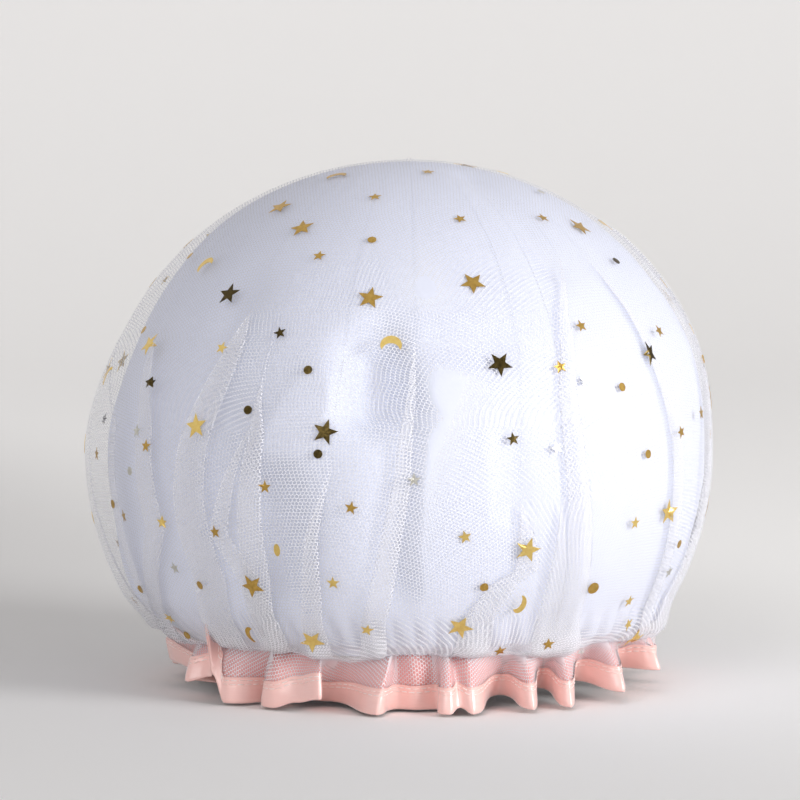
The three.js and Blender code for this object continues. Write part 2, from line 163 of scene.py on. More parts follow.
def travelled(steps: np.ndarray) -> np.ndarray:
    """Adds up steps along their first axis, from 0."""
    return np.concatenate([np.zeros((1, *steps.shape[1:])), np.cumsum(steps, axis=0)])


def turned(turn: np.ndarray, radius: np.ndarray | float, height: np.ndarray | float) -> np.ndarray:
    """Places points by their turn from the front, towards +X, their radius and their height."""
    axes = np.broadcast_arrays(radius * np.sin(turn), -radius * np.cos(turn), height)
    return np.stack(axes, axis=-1)


def surface_normals(grid: np.ndarray) -> np.ndarray:
    """Works out the outward normals of a grid of points that is closed round its columns.

    Args:
        grid: the points, in rows that run down.

    Returns:
        A unit normal for each point.
    """
    along = np.roll(grid, -1, axis=1) - np.roll(grid, 1, axis=1)
    down = np.gradient(grid, axis=0)
    normals = np.cross(down, along)
    length = np.linalg.norm(normals, axis=-1, keepdims=True)
    return normals / np.maximum(length, TINY)


def closing(points: np.ndarray, flat: np.ndarray) -> np.ndarray:
    """Works out how closely a cloth is gathered along each row of its grid.

    Args:
        points: the grid's points.
        flat: their places on the flat cloth.

    Returns:
        How many times narrower than flat the cloth is at each point.
    """
    return np.clip(steps_round(flat) / np.maximum(steps_round(points), TINY), LEAST_CLOSING, MOST_CLOSING)


def make_piece(
    name: str,
    points: np.ndarray,
    faces: Faces,
    material: bpy.types.Material,
    replaces: Sequence[str],
    flat: np.ndarray | None = None,
    closed: np.ndarray | None = None,
) -> bpy.types.Object:
    """Makes a mesh object that rides on the cap and stands for its CAD nodes.

    Args:
        name: the piece's name.
        points: its points, in millimetres.
        faces: its faces.
        material: its finish.
        replaces: the CAD nodes that it stands for.
        flat: each point's place on the flat cloth, in millimetres, for the weave.
        closed: how many times narrower than flat the cloth is gathered at each point, for its threads.

    Returns:
        The new object.
    """
    mesh = bpy.data.meshes.new(name)
    mesh.from_pydata((points.reshape(-1, 3) * MM).tolist(), [], faces)
    mesh.shade_smooth()
    mesh.materials.append(material)
    if flat is not None:
        corners = np.zeros(len(mesh.loops), dtype=np.int32)
        mesh.loops.foreach_get("vertex_index", corners)
        layer = mesh.uv_layers.new(name="flat_cloth")
        layer.data.foreach_set("uv", flat.reshape(-1, 2)[corners].astype(np.float32).ravel())
    if closed is not None:
        attribute = mesh.attributes.new("closing", "FLOAT", "POINT")
        attribute.data.foreach_set("value", closed.astype(np.float32).ravel())
    piece = bpy.data.objects.new(name, mesh)
    bpy.context.scene.collection.objects.link(piece)
    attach(piece, "root")
    if replaces:
        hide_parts(*replaces)
    LOG.info("%s: %d points, %d faces", name, len(mesh.vertices), len(mesh.polygons))
    return piece


def new_material(name: str) -> tuple[bpy.types.Material, bpy.types.NodeTree, bpy.types.Node]:
    """Makes an empty node material.

    Args:
        name: the material's name.

    Returns:
        The material, its node tree and its output node.
    """
    material = bpy.data.materials.new(name)
    material.use_nodes = True
    tree = material.node_tree
    tree.nodes.clear()
    return material, tree, tree.nodes.new("ShaderNodeOutputMaterial")


@dataclass(frozen=True)
class NylonTulle:
    """Warp-knitted nylon hexagonal net: fine white threads round open holes, so it veils what is behind."""

    colour: str = "F6F6FB"
    hole_pitch: float = 1.4
    thread_width: float = 0.19
    edge_blur_share: float = 0.12
    veil_start: float = 1.35
    veil_full: float = 2.8
    cover_share: float = 0.21

    def material(self) -> bpy.types.Material:
        """Builds the net's material, whose alpha is the thread between hexagonal holes.

        Returns:
            The material.
        """
        material, tree, output = new_material("nylon_tulle")
        flat = add_node(tree, "UVMap", {"uv_map": "flat_cloth"}).outputs["UV"]
        # A hexagonal lattice is two rectangular ones, each hole round the nearer of their centres.
        pitch = (self.hole_pitch, self.hole_pitch * math.sqrt(3), 1.0)
        cells = add_node(tree, "VectorMath", {"operation": "DIVIDE"}, i0=flat, i1=pitch).outputs[0]
        lattice = []
        for shift in (0.0, 0.5):
            moved = add_node(
                tree, "VectorMath", {"operation": "ADD"}, i0=cells, i1=(shift, shift, 0)
            ).outputs[0]
            share = add_node(tree, "VectorMath", {"operation": "FRACTION"}, i0=moved).outputs[0]
            middle = add_node(
                tree, "VectorMath", {"operation": "SUBTRACT"}, i0=share, i1=(0.5, 0.5, 0)
            ).outputs[0]
            sized = add_node(
                tree, "VectorMath", {"operation": "MULTIPLY"}, i0=middle, i1=(1, math.sqrt(3), 0)
            ).outputs[0]
            folded = add_node(tree, "VectorMath", {"operation": "ABSOLUTE"}, i0=sized).outputs[0]
            slanted = add_node(
                tree, "VectorMath", {"operation": "DOT_PRODUCT"}, i0=folded, i1=(0.5, math.sqrt(3) / 2, 0)
            ).outputs["Value"]
            across = add_node(tree, "SeparateXYZ", {}, i0=folded).outputs["X"]
            lattice.append(add_node(tree, "Math", {"operation": "MAXIMUM"}, i0=slanted, i1=across).outputs[0])
        nearer = add_node(tree, "Math", {"operation": "MINIMUM"}, i0=lattice[0], i1=lattice[1]).outputs[0]
        # Where the net is gathered its holes close up, but its threads stay as thick.
        closed = add_node(tree, "Attribute", {"attribute_name": "closing"}).outputs["Fac"]
        half_thread = -self.thread_width / self.hole_pitch / 2
        edges = [
            add_node(
                tree,
                "Math",
                {"operation": "MULTIPLY_ADD"},
                i0=closed,
                i1=half_thread,
                i2=0.5 + side * self.edge_blur_share / 2,
            ).outputs[0]
            for side in (-1, 1)
        ]
        thread = add_node(
            tree,
            "MapRange",
            {"interpolation_type": "SMOOTHSTEP"},
            Value=nearer,
            From_Min=edges[0],
            From_Max=edges[1],
        ).outputs[0]
        # Gathered tight, the holes are too fine to see one by one, and the net is an even veil.
        veil = add_node(
            tree,
            "MapRange",
            {"interpolation_type": "SMOOTHSTEP"},
            Value=closed,
            From_Min=self.veil_start,
            From_Max=self.veil_full,
        ).outputs[0]
        cover = add_node(
            tree, "Math", {"operation": "MULTIPLY", "use_clamp": True}, i0=closed, i1=self.cover_share
        ).outputs[0]
        alpha = add_node(tree, "Mix", {"data_type": "FLOAT"}, i0=veil, i2=thread, i3=cover).outputs[0]
        shader = add_node(
            tree,
            "BsdfPrincipled",
            {},
            Base_Color=linear(self.colour),
            Roughness=0.6,
            IOR=1.45,
            Alpha=alpha,
        )
        tree.links.new(shader.outputs[0], output.inputs["Surface"])
        return material


@dataclass(frozen=True)
class CoatedCloth:
    """Polyester cloth coated with a waterproof film: opaque blue-white, softly glossy, faintly crinkled."""

    colour: str = "E3E7F6"
    crinkle_size: float = 6.0
    crinkle_depth: float = 0.25

    def material(self) -> bpy.types.Material:
        """Builds the lining's material.

        Returns:
            The material.
        """
        material, tree, output = new_material("coated_polyester")
        place = add_node(tree, "TexCoord", {}).outputs["Object"]
        crinkle = add_node(
            tree, "TexNoise", {}, Vector=place, Scale=1 / (self.crinkle_size * MM), Detail=3.0, Roughness=0.55
        ).outputs[0]
        bump = add_node(tree, "Bump", {}, Strength=0.6, Distance=self.crinkle_depth * MM, Height=crinkle)
        shader = add_node(
            tree,
            "BsdfPrincipled",
            {},
            Base_Color=linear(self.colour),
            Roughness=0.5,
            IOR=1.48,
            Normal=bump.outputs[0],
        )
        tree.links.new(shader.outputs[0], output.inputs["Surface"])
        return material


@dataclass(frozen=True)
class PolyesterSatin:
    """Woven polyester satin: pink, with long floats along one way that stretch its shine across them."""

    name: str
    colour: str
    painted_shade: str
    roughness: float
    thread_pitch: float = 0.5
    float_length: float = 4.5
    float_depth: float = 0.05
    pucker_pitch: float = 3.2
    pucker_length: float = 14.0
    pucker_depth: float = 0.25
    gloss: float = 0.9
    sheen: float = 0.45

    def material(self) -> bpy.types.Material:
        """Builds the satin's material from its place on the flat ribbon or facing.

        Returns:
            The material.
        """
        material, tree, output = new_material(self.name)
        flat = add_node(tree, "UVMap", {"uv_map": "flat_cloth"}).outputs["UV"]
        # The floats are about 0.1 mm apart. They are drawn 0.5 mm apart, the finest that shows.
        stretch = (1 / self.float_length, 1 / self.thread_pitch, 1.0)
        threads = add_node(tree, "VectorMath", {"operation": "MULTIPLY"}, i0=flat, i1=stretch).outputs[0]
        float_noise = add_node(tree, "TexNoise", {}, Vector=threads, Scale=1.0, Detail=2.0).outputs[0]
        # Between the floats, where the same noise sinks the bump, the colour darkens: painted shade.
        colour = add_node(
            tree,
            "Mix",
            {"data_type": "RGBA"},
            i0=float_noise,
            i6=linear(self.painted_shade),
            i7=linear(self.colour),
        ).outputs[2]
        pucker_size = (self.pucker_pitch, self.pucker_length, 1.0)
        puckers = add_node(tree, "VectorMath", {"operation": "DIVIDE"}, i0=flat, i1=pucker_size).outputs[0]
        pucker_noise = add_node(tree, "TexNoise", {}, Vector=puckers, Scale=1.0, Detail=1.0).outputs[0]
        pucker = add_node(
            tree, "Bump", {}, Strength=0.6, Distance=self.pucker_depth * MM, Height=pucker_noise
        )
        bump = add_node(
            tree,
            "Bump",
            {},
            Strength=0.25,
            Distance=self.float_depth * MM,
            Height=float_noise,
            Normal=pucker.outputs[0],
        )
        shader = add_node(
            tree,
            "BsdfPrincipled",
            {},
            Base_Color=colour,
            Roughness=self.roughness,
            IOR=1.55,
            Specular_IOR_Level=self.gloss,
            Anisotropic=0.4,
            Sheen_Weight=self.sheen,
            Sheen_Roughness=0.35,
            Normal=bump.outputs[0],
        )
        tree.links.new(shader.outputs[0], output.inputs["Surface"])
        return material


@dataclass(frozen=True)
class SpunThread:
    """Spun polyester sewing thread: matt, with a fine twist."""

    name: str
    colour: str
    painted_shade: str
    twist_pitch: float = 0.6

    def material(self) -> bpy.types.Material:
        """Builds the thread's material.

        Returns:
            The material.
        """
        material, tree, output = new_material(self.name)
        place = add_node(tree, "TexCoord", {}).outputs["Object"]
        # A real twist is about 0.2 mm a turn. It is drawn 0.6 mm long, the finest that shows.
        scale = 1 / (self.twist_pitch * MM) / WAVE_RADIANS
        twist = add_node(
            tree, "TexWave", {"bands_direction": "DIAGONAL"}, Vector=place, Scale=scale
        ).outputs["Fac"]
        # The twist is drawn in colour alone, with no bump: its grooves are painted shade.
        colour = add_node(
            tree, "Mix", {"data_type": "RGBA"}, i0=twist, i6=linear(self.painted_shade), i7=linear(self.colour)
        ).outputs[2]
        shader = add_node(tree, "BsdfPrincipled", {}, Base_Color=colour, Roughness=0.65, IOR=1.55)
        tree.links.new(shader.outputs[0], output.inputs["Surface"])
        return material


@dataclass(frozen=True)
class KnittedElastic:
    """Knitted rubber-cored elastic: white, matt, ribbed across its length."""

    colour: str = "F0EFEA"
    painted_shade: str = "C9C7C0"
    rib_pitch: float = 1.2
    rib_depth: float = 0.2

    def material(self) -> bpy.types.Material:
        """Builds the elastic's material from the place on the flat band.

        Returns:
            The material.
        """
        material, tree, output = new_material("knitted_elastic")
        flat = add_node(tree, "UVMap", {"uv_map": "flat_cloth"}).outputs["UV"]
        scale = 1 / (self.rib_pitch * WAVE_RADIANS / math.pi)
        ribs = add_node(tree, "TexWave", {}, Vector=flat, Scale=scale).outputs["Fac"]
        # The ribs' grooves, where the same wave sinks the bump, are painted darker: painted shade.
        colour = add_node(
            tree, "Mix", {"data_type": "RGBA"}, i0=ribs, i6=linear(self.painted_shade), i7=linear(self.colour)
        ).outputs[2]
        bump = add_node(tree, "Bump", {}, Strength=0.5, Distance=self.rib_depth * MM, Height=ribs)
        shader = add_node(
            tree, "BsdfPrincipled", {}, Base_Color=colour, Roughness=0.7, Normal=bump.outputs[0]
        )
        tree.links.new(shader.outputs[0], output.inputs["Surface"])
        return material


class FoilTone(Enum):
    """How a foil motif catches the room, which its tilt on the cloth decides. Each foil is given its tone,
    and the bright, dark and pale tones paint that reflection into the gold's colour.
    """

    BRIGHT_PAINTED_REFLECTION = ("gold_foil_painted_bright_reflection", "F3DA8C", "D8B25A", 0.36)
    WARM = ("warm_gold_foil", "DDB865", "9C7634", 0.3)
    DARK = ("gold_foil_painted_dark_reflection", "6B5A32", "100E0A", 0.25)
    PALE_PAINTED_REFLECTION = ("gold_foil_painted_pale_reflection", "EAE8E0", "A9A69C", 0.4)


@dataclass(frozen=True)
class GoldFoil:
    """Hot-stamped metal foil: a mirror-thin gold skin, slightly crinkled by the net beneath it."""

    tone: FoilTone
    crinkle_size: float = 1.1
    crinkle_depth: float = 0.12

    def material(self) -> bpy.types.Material:
        """Builds the foil's material in its tone, whose colours, but for the warm one, paint in the
        reflection that the foil shows.

        Returns:
            The material.
        """
        name, colour, painted_shade, roughness = self.tone.value
        material, tree, output = new_material(name)
        place = add_node(tree, "TexCoord", {}).outputs["Object"]
        crinkle = add_node(
            tree, "TexNoise", {}, Vector=place, Scale=1 / (self.crinkle_size * MM), Detail=2.0
        ).outputs[0]
        # The crinkle darkens the gold in the dents of its bump: painted shade.
        mixed = add_node(
            tree, "Mix", {"data_type": "RGBA"}, i0=crinkle, i6=linear(painted_shade), i7=linear(colour)
        ).outputs[2]
        bump = add_node(tree, "Bump", {}, Strength=0.5, Distance=self.crinkle_depth * MM, Height=crinkle)
        shader = add_node(
            tree,
            "BsdfPrincipled",
            {},
            Base_Color=mixed,
            Metallic=1.0,
            Roughness=roughness,
            Normal=bump.outputs[0],
        )
        tree.links.new(shader.outputs[0], output.inputs["Surface"])
        return material


@dataclass
class PhotoCamera:
    """The camera at the photograph's place, which also turns its pixels into lines of sight."""

    place: tuple[float, float, float] = (-0.4, -1250.0, 182.0)
    aim: tuple[float, float, float] = (-0.4, 0.0, 107.0)
    pixels_per_radian: float = 3264.0
    image_pixels: float = 800.0
    sensor: float = 36.0

    def build(self) -> None:
        """Makes the camera and gives it to the scene."""
        data = bpy.data.cameras.new("photo_camera")
        data.sensor_width = self.sensor
        data.lens = self.pixels_per_radian * self.sensor / self.image_pixels
        camera = bpy.data.objects.new("photo_camera", data)
        camera.location = Vector(self.place) * MM
        line = Vector(self.aim) - Vector(self.place)
        camera.rotation_euler = line.to_track_quat("-Z", "Y").to_euler()
        bpy.context.scene.collection.objects.link(camera)
        bpy.context.scene.camera = camera

    def sight(self, pixel: Pixel) -> tuple[np.ndarray, np.ndarray]:
        """Gives the line of sight through a pixel.

        Args:
            pixel: its column and row, from the image's top left corner.

        Returns:
            The line's start, in millimetres, and its direction.
        """
        ahead = np.array(self.aim) - np.array(self.place)
        ahead = ahead / np.linalg.norm(ahead)
        right = np.array([1.0, 0.0, 0.0])
        up = np.cross(right, ahead)
        centre = self.image_pixels / 2
        direction = (
            ahead
            + right * (pixel[0] - centre) / self.pixels_per_radian
            - up * (pixel[1] - centre) / self.pixels_per_radian
        )
        return np.array(self.place), direction / np.linalg.norm(direction)


@dataclass
class Dome:
    """The puffed dome's shape: two half ellipses, drawn in under the bulge to the gather."""

    radius: float = 120.0
    middle_height: float = 89.0
    upper_rise: float = 111.0
    lower_drop: float = 113.0
    tuck_height: float = 24.0
    gather_radius: float = 91.2
    gather_height: float = 21.5
    crown_lean: float = 3.0
    gather_shift: float = 3.0
    tuck_pull: float = 3.5
    tuck_drop_share: float = 0.25
    crown_lean_rise: float = 50.0
    gather_shift_rise: float = 14.0
    foot_wander: float = 1.7
    foot_waves: Waves = ((8, 1.0), (15, 0.7))
    foot_phases: tuple[float, ...] = (0.6, 2.0)
    samples: int = 400
    tuck_samples: int = 50
    slope_step: float = 0.5
    sight_reach: Span = (1100.0, 1330.0)
    sight_steps: int = 2400
    runs: np.ndarray = field(init=False)
    radii: np.ndarray = field(init=False)
    heights: np.ndarray = field(init=False)

    def __post_init__(self) -> None:
        """Lays out the meridian by its length from the crown."""
        quarter = np.linspace(0, math.pi / 2, self.samples)
        upper = np.stack(
            [self.radius * np.sin(quarter), self.middle_height + self.upper_rise * np.cos(quarter)]
        )
        end = math.asin((self.middle_height - self.tuck_height) / self.lower_drop)
        below = np.linspace(0, end, self.samples)[1:]
        lower = np.stack([self.radius * np.cos(below), self.middle_height - self.lower_drop * np.sin(below)])
        start = lower[:, -1]
        slope = lower[:, -1] - lower[:, -2]
        slope = slope / np.linalg.norm(slope)
        finish = np.array([self.gather_radius, self.gather_height])
        first = start + slope * self.tuck_pull
        second = finish + np.array([self.tuck_pull, -self.tuck_drop_share * self.tuck_pull])
        t = np.linspace(0, 1, self.tuck_samples)[1:]
        tuck = (
            np.outer(start, (1 - t) ** 3)
            + np.outer(first, 3 * t * (1 - t) ** 2)
            + np.outer(second, 3 * t**2 * (1 - t))
            + np.outer(finish, t**3)
        )
        path = np.concatenate([upper, lower, tuck], axis=1)
        steps = np.linalg.norm(np.diff(path, axis=1), axis=0)
        self.runs = travelled(steps)
        self.radii, self.heights = path

    @property
    def length(self) -> float:
        """The meridian's length from the crown to the gather."""
        return float(self.runs[-1])

    def at(self, run: np.ndarray) -> tuple[np.ndarray, np.ndarray]:
        """Gives the radius and height at a run from the crown."""
        return np.interp(run, self.runs, self.radii), np.interp(run, self.runs, self.heights)

    def lean(self, height: np.ndarray) -> np.ndarray:
        """Works out how far the dome's middle stands to the right.

        Args:
            height: the heights to work it out at.

        Returns:
            The middle's place along X at each height.
        """
        crown_top = self.middle_height + self.crown_lean_rise
        foot_top = self.gather_height + self.gather_shift_rise
        crown = self.crown_lean * smooth_step(self.middle_height, crown_top, height)
        return crown + self.gather_shift * smooth_step(foot_top, self.gather_height, height)

    def foot_wave(self, turn: np.ndarray) -> np.ndarray:
        """Gives how far the net's gather wanders up and down round the cap."""
        deepest = sum(depth for _, depth in self.foot_waves)
        return self.foot_wander * rippled(turn, self.foot_waves, self.foot_phases) / deepest

    def gather_ring(
        self, turn: np.ndarray, radius: np.ndarray | float, height: np.ndarray | float
    ) -> np.ndarray:
        """Places points round the gather, whose middle stands a little to the right.

        Args:
            turn: each point's angle from the front, towards +X.
            radius: its distance from the gather's middle.
            height: its height.

        Returns:
            The points, in millimetres.
        """
        points = turned(turn, radius, height)
        points[..., 0] += self.gather_shift
        return points

    def placed(self, turn: np.ndarray, run: np.ndarray, lift: np.ndarray) -> np.ndarray:
        """Places points on the dome.

        Args:
            turn: each point's angle from the front, towards +X.
            run: its length along the meridian from the crown.
            lift: how far it stands off the dome's surface.

        Returns:
            The points, in millimetres.
        """
        radius, height = self.at(run)
        ahead_radius, ahead_height = self.at(np.minimum(run + self.slope_step, self.length))
        behind_radius, behind_height = self.at(np.maximum(run - self.slope_step, 0))
        down = np.stack([ahead_radius - behind_radius, ahead_height - behind_height])
        down = down / np.maximum(np.linalg.norm(down, axis=0), TINY)
        points = turned(turn, radius - lift * down[1], height + lift * down[0])
        points[..., 0] += self.lean(height)
        return points

    def seen_at(self, camera: PhotoCamera, pixel: Pixel) -> tuple[float, float]:
        """Finds where a pixel's line of sight meets the dome.

        Args:
            camera: the photograph's camera.
            pixel: the pixel.

        Returns:
            The turn from the front and the run from the crown.
        """
        start, direction = camera.sight(pixel)
        reach = np.linspace(*self.sight_reach, self.sight_steps)
        points = start + np.outer(reach, direction)
        rising = np.searchsorted(-self.heights, -points[:, 2])
        index = np.clip(rising, 0, len(self.heights) - 1)
        middle = points[:, 0] - self.lean(points[:, 2])
        radius = np.hypot(middle, points[:, 1])
        margin = radius - self.radii[index]
        hits = np.nonzero(margin < 0)[0]
        best = hits[0] if len(hits) else int(np.argmin(margin))
        return float(np.arctan2(middle[best], -points[best, 1])), float(self.runs[index[best]])


class Side(Enum):
    """The side that a pleat's visible edge faces."""

    LEFT = -1
    RIGHT = 1


@dataclass
class Pleat:
    """A knife pleat in the net: the trail of its visible edge, and the cloth that it takes up."""

    trail: list[tuple[float, float]]
    side: Side
    depth: float
    start: float
    growth: float

    def edge(self, run: np.ndarray) -> np.ndarray:
        """Gives the turn of the pleat's visible edge at each run."""
        turns, runs = zip(*self.trail)
        return np.interp(run, runs, turns)

    def width(self, run: np.ndarray) -> np.ndarray:
        """Gives how wide the pleat's hidden layers are at each run."""
        return self.depth * (1 - np.exp(-np.maximum(run - self.start, 0) / self.growth))


@dataclass
class NetDome:
    """The tulle's dome: panels between knife pleats that deepen towards the gather."""

    dome: Dome
    camera: PhotoCamera
    ruffle: "Ruffle"
    rows: int = 92
    panel_columns: int = 20
    fold_columns: int = 3
    layer_gap: float = 0.75
    crease: float = 0.5
    row_grain: float = 0.9
    crown_hole: float = 2.0
    opening_width: float = 4.0
    hidden_pleats: int = 15
    hidden_margins: Span = (0.32, 0.3)
    hidden_starts: Span = (60, 190)
    hidden_depths: Span = (10, 16)
    hidden_growths: Span = (40, 90)
    hidden_wander: Span = (-0.05, 0.05)
    hidden_slant: Span = (-0.07, 0.07)
    panel_puff: float = 1.3
    puff_power: float = 0.8
    puff_fade: Span = (150, 20)
    pucker_depth: float = 0.45
    pucker_count: int = 41
    pucker_drift: Waves = ((4, 2.5), (13, 1.1))
    pucker_reach: Span = (26, 2)
    pucker_closing: float = 0.8
    gathers_depth: float = 0.6
    gathers_count: int = 34
    gathers_drift: Waves = ((3, 2.2), (11, 0.8))
    gathers_reach: Span = (85, 8)
    crest_share: float = 0.6
    swell_depth: float = 0.6
    swells: Waves = ((5, 1.0), (9, 0.7))
    swell_start: Span = (20, 130)
    swell_end: float = 60
    seam_relief_share: float = 0.3
    seam_level_share: float = 0.4
    seam_reach: float = 6
    inset: float = 0.9
    inset_reach: float = 12
    wander_reach: float = 18
    bridge_height: float = 15.0

    def pleats(self) -> list[Pleat]:
        """Lists the pleats round the dome.

        Returns:
            The photographed pleats in front, and then the seeded ones behind.
        """
        seen = [
            ([(120, 330), (118, 420), (122, 520), (150, 600), (176, 645)], Side.RIGHT, 11, 40),
            ([(158, 330), (155, 420), (157, 490), (167, 530), (192, 640)], Side.RIGHT, 13, 20),
            (
                [(250, 310), (212, 372), (182, 435), (174, 490), (177, 520), (195, 580), (216, 640)],
                Side.LEFT,
                15,
                25,
            ),
            ([(250, 425), (222, 480), (210, 532), (238, 578), (256, 623), (268, 650)], Side.LEFT, 10, 30),
            ([(262, 380), (265, 435), (262, 520), (270, 575), (290, 650)], Side.RIGHT, 12, 25),
            ([(330, 470), (318, 540), (322, 600), (336, 655)], Side.RIGHT, 11, 40),
            ([(415, 340), (416, 400), (412, 480), (402, 540), (392, 600), (385, 660)], Side.RIGHT, 11, 60),
            ([(520, 500), (515, 570), (490, 585), (465, 615), (445, 660)], Side.LEFT, 14, 22),
            ([(560, 500), (547, 575), (535, 620), (520, 655)], Side.LEFT, 13, 30),
            ([(560, 255), (567, 315), (575, 390), (585, 460), (590, 560), (575, 648)], Side.RIGHT, 12, 60),
            (
                [(585, 255), (620, 300), (650, 360), (672, 440), (672, 500), (655, 580), (622, 642)],
                Side.LEFT,
                12,
                60,
            ),
        ]
        found = []
        for pixels, side, depth, growth in seen:
            trail = [self.dome.seen_at(self.camera, pixel) for pixel in pixels]
            found.append(Pleat(trail, side, float(depth), trail[0][1], float(growth)))
        random = np.random.default_rng(SEED)
        first = found[-1].trail[-1][0] + self.hidden_margins[0]
        last = found[0].trail[-1][0] + FULL_TURN - self.hidden_margins[1]
        for turn in np.linspace(first, last, self.hidden_pleats):
            start = draw(random, self.hidden_starts)
            foot = turn + draw(random, self.hidden_wander)
            head = foot + draw(random, self.hidden_slant)
            side = Side.LEFT if random.random() < 0.5 else Side.RIGHT
            trail = [(head, start), (foot, self.dome.length)]
            depth = draw(random, self.hidden_depths)
            found.append(Pleat(trail, side, depth, start, draw(random, self.hidden_growths)))
        return found

    def relief(self, turn: np.ndarray, run: np.ndarray) -> np.ndarray:
        """Gives the gathers' relief: broad swells, long gathers and short puckers at the foot.

        Args:
            turn: each point's angle from the front.
            run: its length from the crown.

        Returns:
            How far each point stands off the dome.
        """
        random = np.random.default_rng(SEED + 1)
        left = self.dome.length - run
        phases = random.uniform(0, FULL_TURN, 6)
        swell = rippled(turn, self.swells, phases[:2])
        waves = self.gathers_count * turn + rippled(turn, self.gathers_drift, phases[2:4])
        gathers = self.crest_share - np.abs(np.sin(waves))
        fine = self.pucker_count * turn + rippled(turn, self.pucker_drift, phases[4:])
        puckers = self.crest_share - np.abs(np.sin(fine))
        broad = self.swell_depth * swell * smooth_step(*self.swell_start, run)
        broad = broad * smooth_step(0, self.swell_end, left)
        long_gathers = self.gathers_depth * gathers * smooth_step(*self.gathers_reach, left)
        short_puckers = self.pucker_depth * puckers * smooth_step(*self.pucker_reach, left)
        foot = self.seam_relief_share + (1 - self.seam_relief_share) * smooth_step(0, self.seam_reach, left)
        inset = self.inset * smooth_step(0, self.inset_reach, left)
        return broad + (long_gathers + short_puckers) * foot - inset

    def build(self) -> tuple[np.ndarray, np.ndarray, np.ndarray, Faces]:
        """Builds the dome's points, their places on the flat net and its faces.

        Returns:
            The points, the flat places, how gathered each is, and the faces, with the crown's point last.
        """
        pleats = self.pleats()
        share = np.linspace(0, 1, self.rows) ** self.row_grain
        runs = self.crown_hole + (self.dome.length - self.crown_hole) * share
        radius, _ = self.dome.at(runs)
        right, left, before, after, spread = [], [], [], [], []
        for pleat in pleats:
            width = pleat.width(runs)
            turn = pleat.edge(runs)
            angle = width / radius
            if pleat.side is Side.RIGHT:
                right.append(turn)
                left.append(turn - angle)
                before.append(2.0)
                after.append(0.0)
            else:
                right.append(turn + angle)
                left.append(turn)
                before.append(0.0)
                after.append(2.0)
            spread.append(np.clip(width / self.opening_width, 0, 1))
        turns, levels = [], []
        count = len(pleats)
        for number in range(count):
            following = (number + 1) % count
            wrap = FULL_TURN if following == 0 else 0.0
            bend = self.crease / radius * spread[number]
            next_bend = self.crease / radius * spread[following]
            here = spread[number] * self.layer_gap
            there = spread[following] * self.layer_gap
            turns += [right[number], right[number] - bend]
            levels += [here * (before[number] + 1) / 2, here]
            for step in range(1, self.fold_columns):
                part = step / self.fold_columns
                turns.append(right[number] - bend + (left[number] - right[number] + 2 * bend) * part)
                levels.append(here)
            turns += [left[number] + bend, left[number]]
            levels += [here, here * (after[number] + 1) / 2]
            start = left[number] + bend
            end = right[following] + wrap - next_bend
            for step in range(self.panel_columns):
                part = step / (self.panel_columns - 1)
                ease = part * part * (3 - 2 * part)
                puff = self.panel_puff * math.sin(math.pi * part) ** self.puff_power
                puffed = puff * smooth_step(*self.puff_fade, self.dome.length - runs)
                turns.append(start + (end - start) * part)
                levels.append(here * after[number] * (1 - ease) + there * before[following] * ease + puffed)
        turn = np.stack(turns, axis=1)
        level = np.stack(levels, axis=1)
        run = np.repeat(runs[:, None], turn.shape[1], axis=1)
        left = self.dome.length - run
        inner = smooth_step(0, self.inset_reach, left)
        level = level * (self.seam_level_share + (1 - self.seam_level_share) * inner)
        drawn = 1 + self.pucker_closing * smooth_step(self.pucker_reach[0], 0, left)
        grid = self.dome.placed(turn, run, level + self.relief(turn, run))
        bridge = self.ruffle.bridge * self.ruffle.crest_nearness(turn)
        bridge = bridge * smooth_step(self.bridge_height, 0, left)
        wander = self.dome.foot_wave(turn) * smooth_step(self.wander_reach, 0, left)
        grid = grid + turned(turn, bridge, wander)
        steps = steps_round(grid)
        along = np.cumsum(steps, axis=1) - steps
        spun = FULL_TURN * along / steps.sum(axis=1, keepdims=True)
        flat = np.stack([run * np.sin(spun), -run * np.cos(spun)], axis=-1)
        faces = grid_faces(*turn.shape) + tip_faces(turn.size, turn.shape[1])
        top = self.dome.placed(np.zeros(1), np.zeros(1), np.zeros(1))
        points = np.concatenate([grid.reshape(-1, 3), top])
        flats = np.concatenate([flat.reshape(-1, 2), np.zeros((1, 2))])
        return points, flats, np.append((closing(grid, flat) * drawn).ravel(), 1.0), faces


@dataclass(frozen=True)
class SoftFold:
    """A soft valley or ridge in the lining, along a line of pixels."""

    pixels: tuple[Pixel, ...]
    lift: float
    width: float


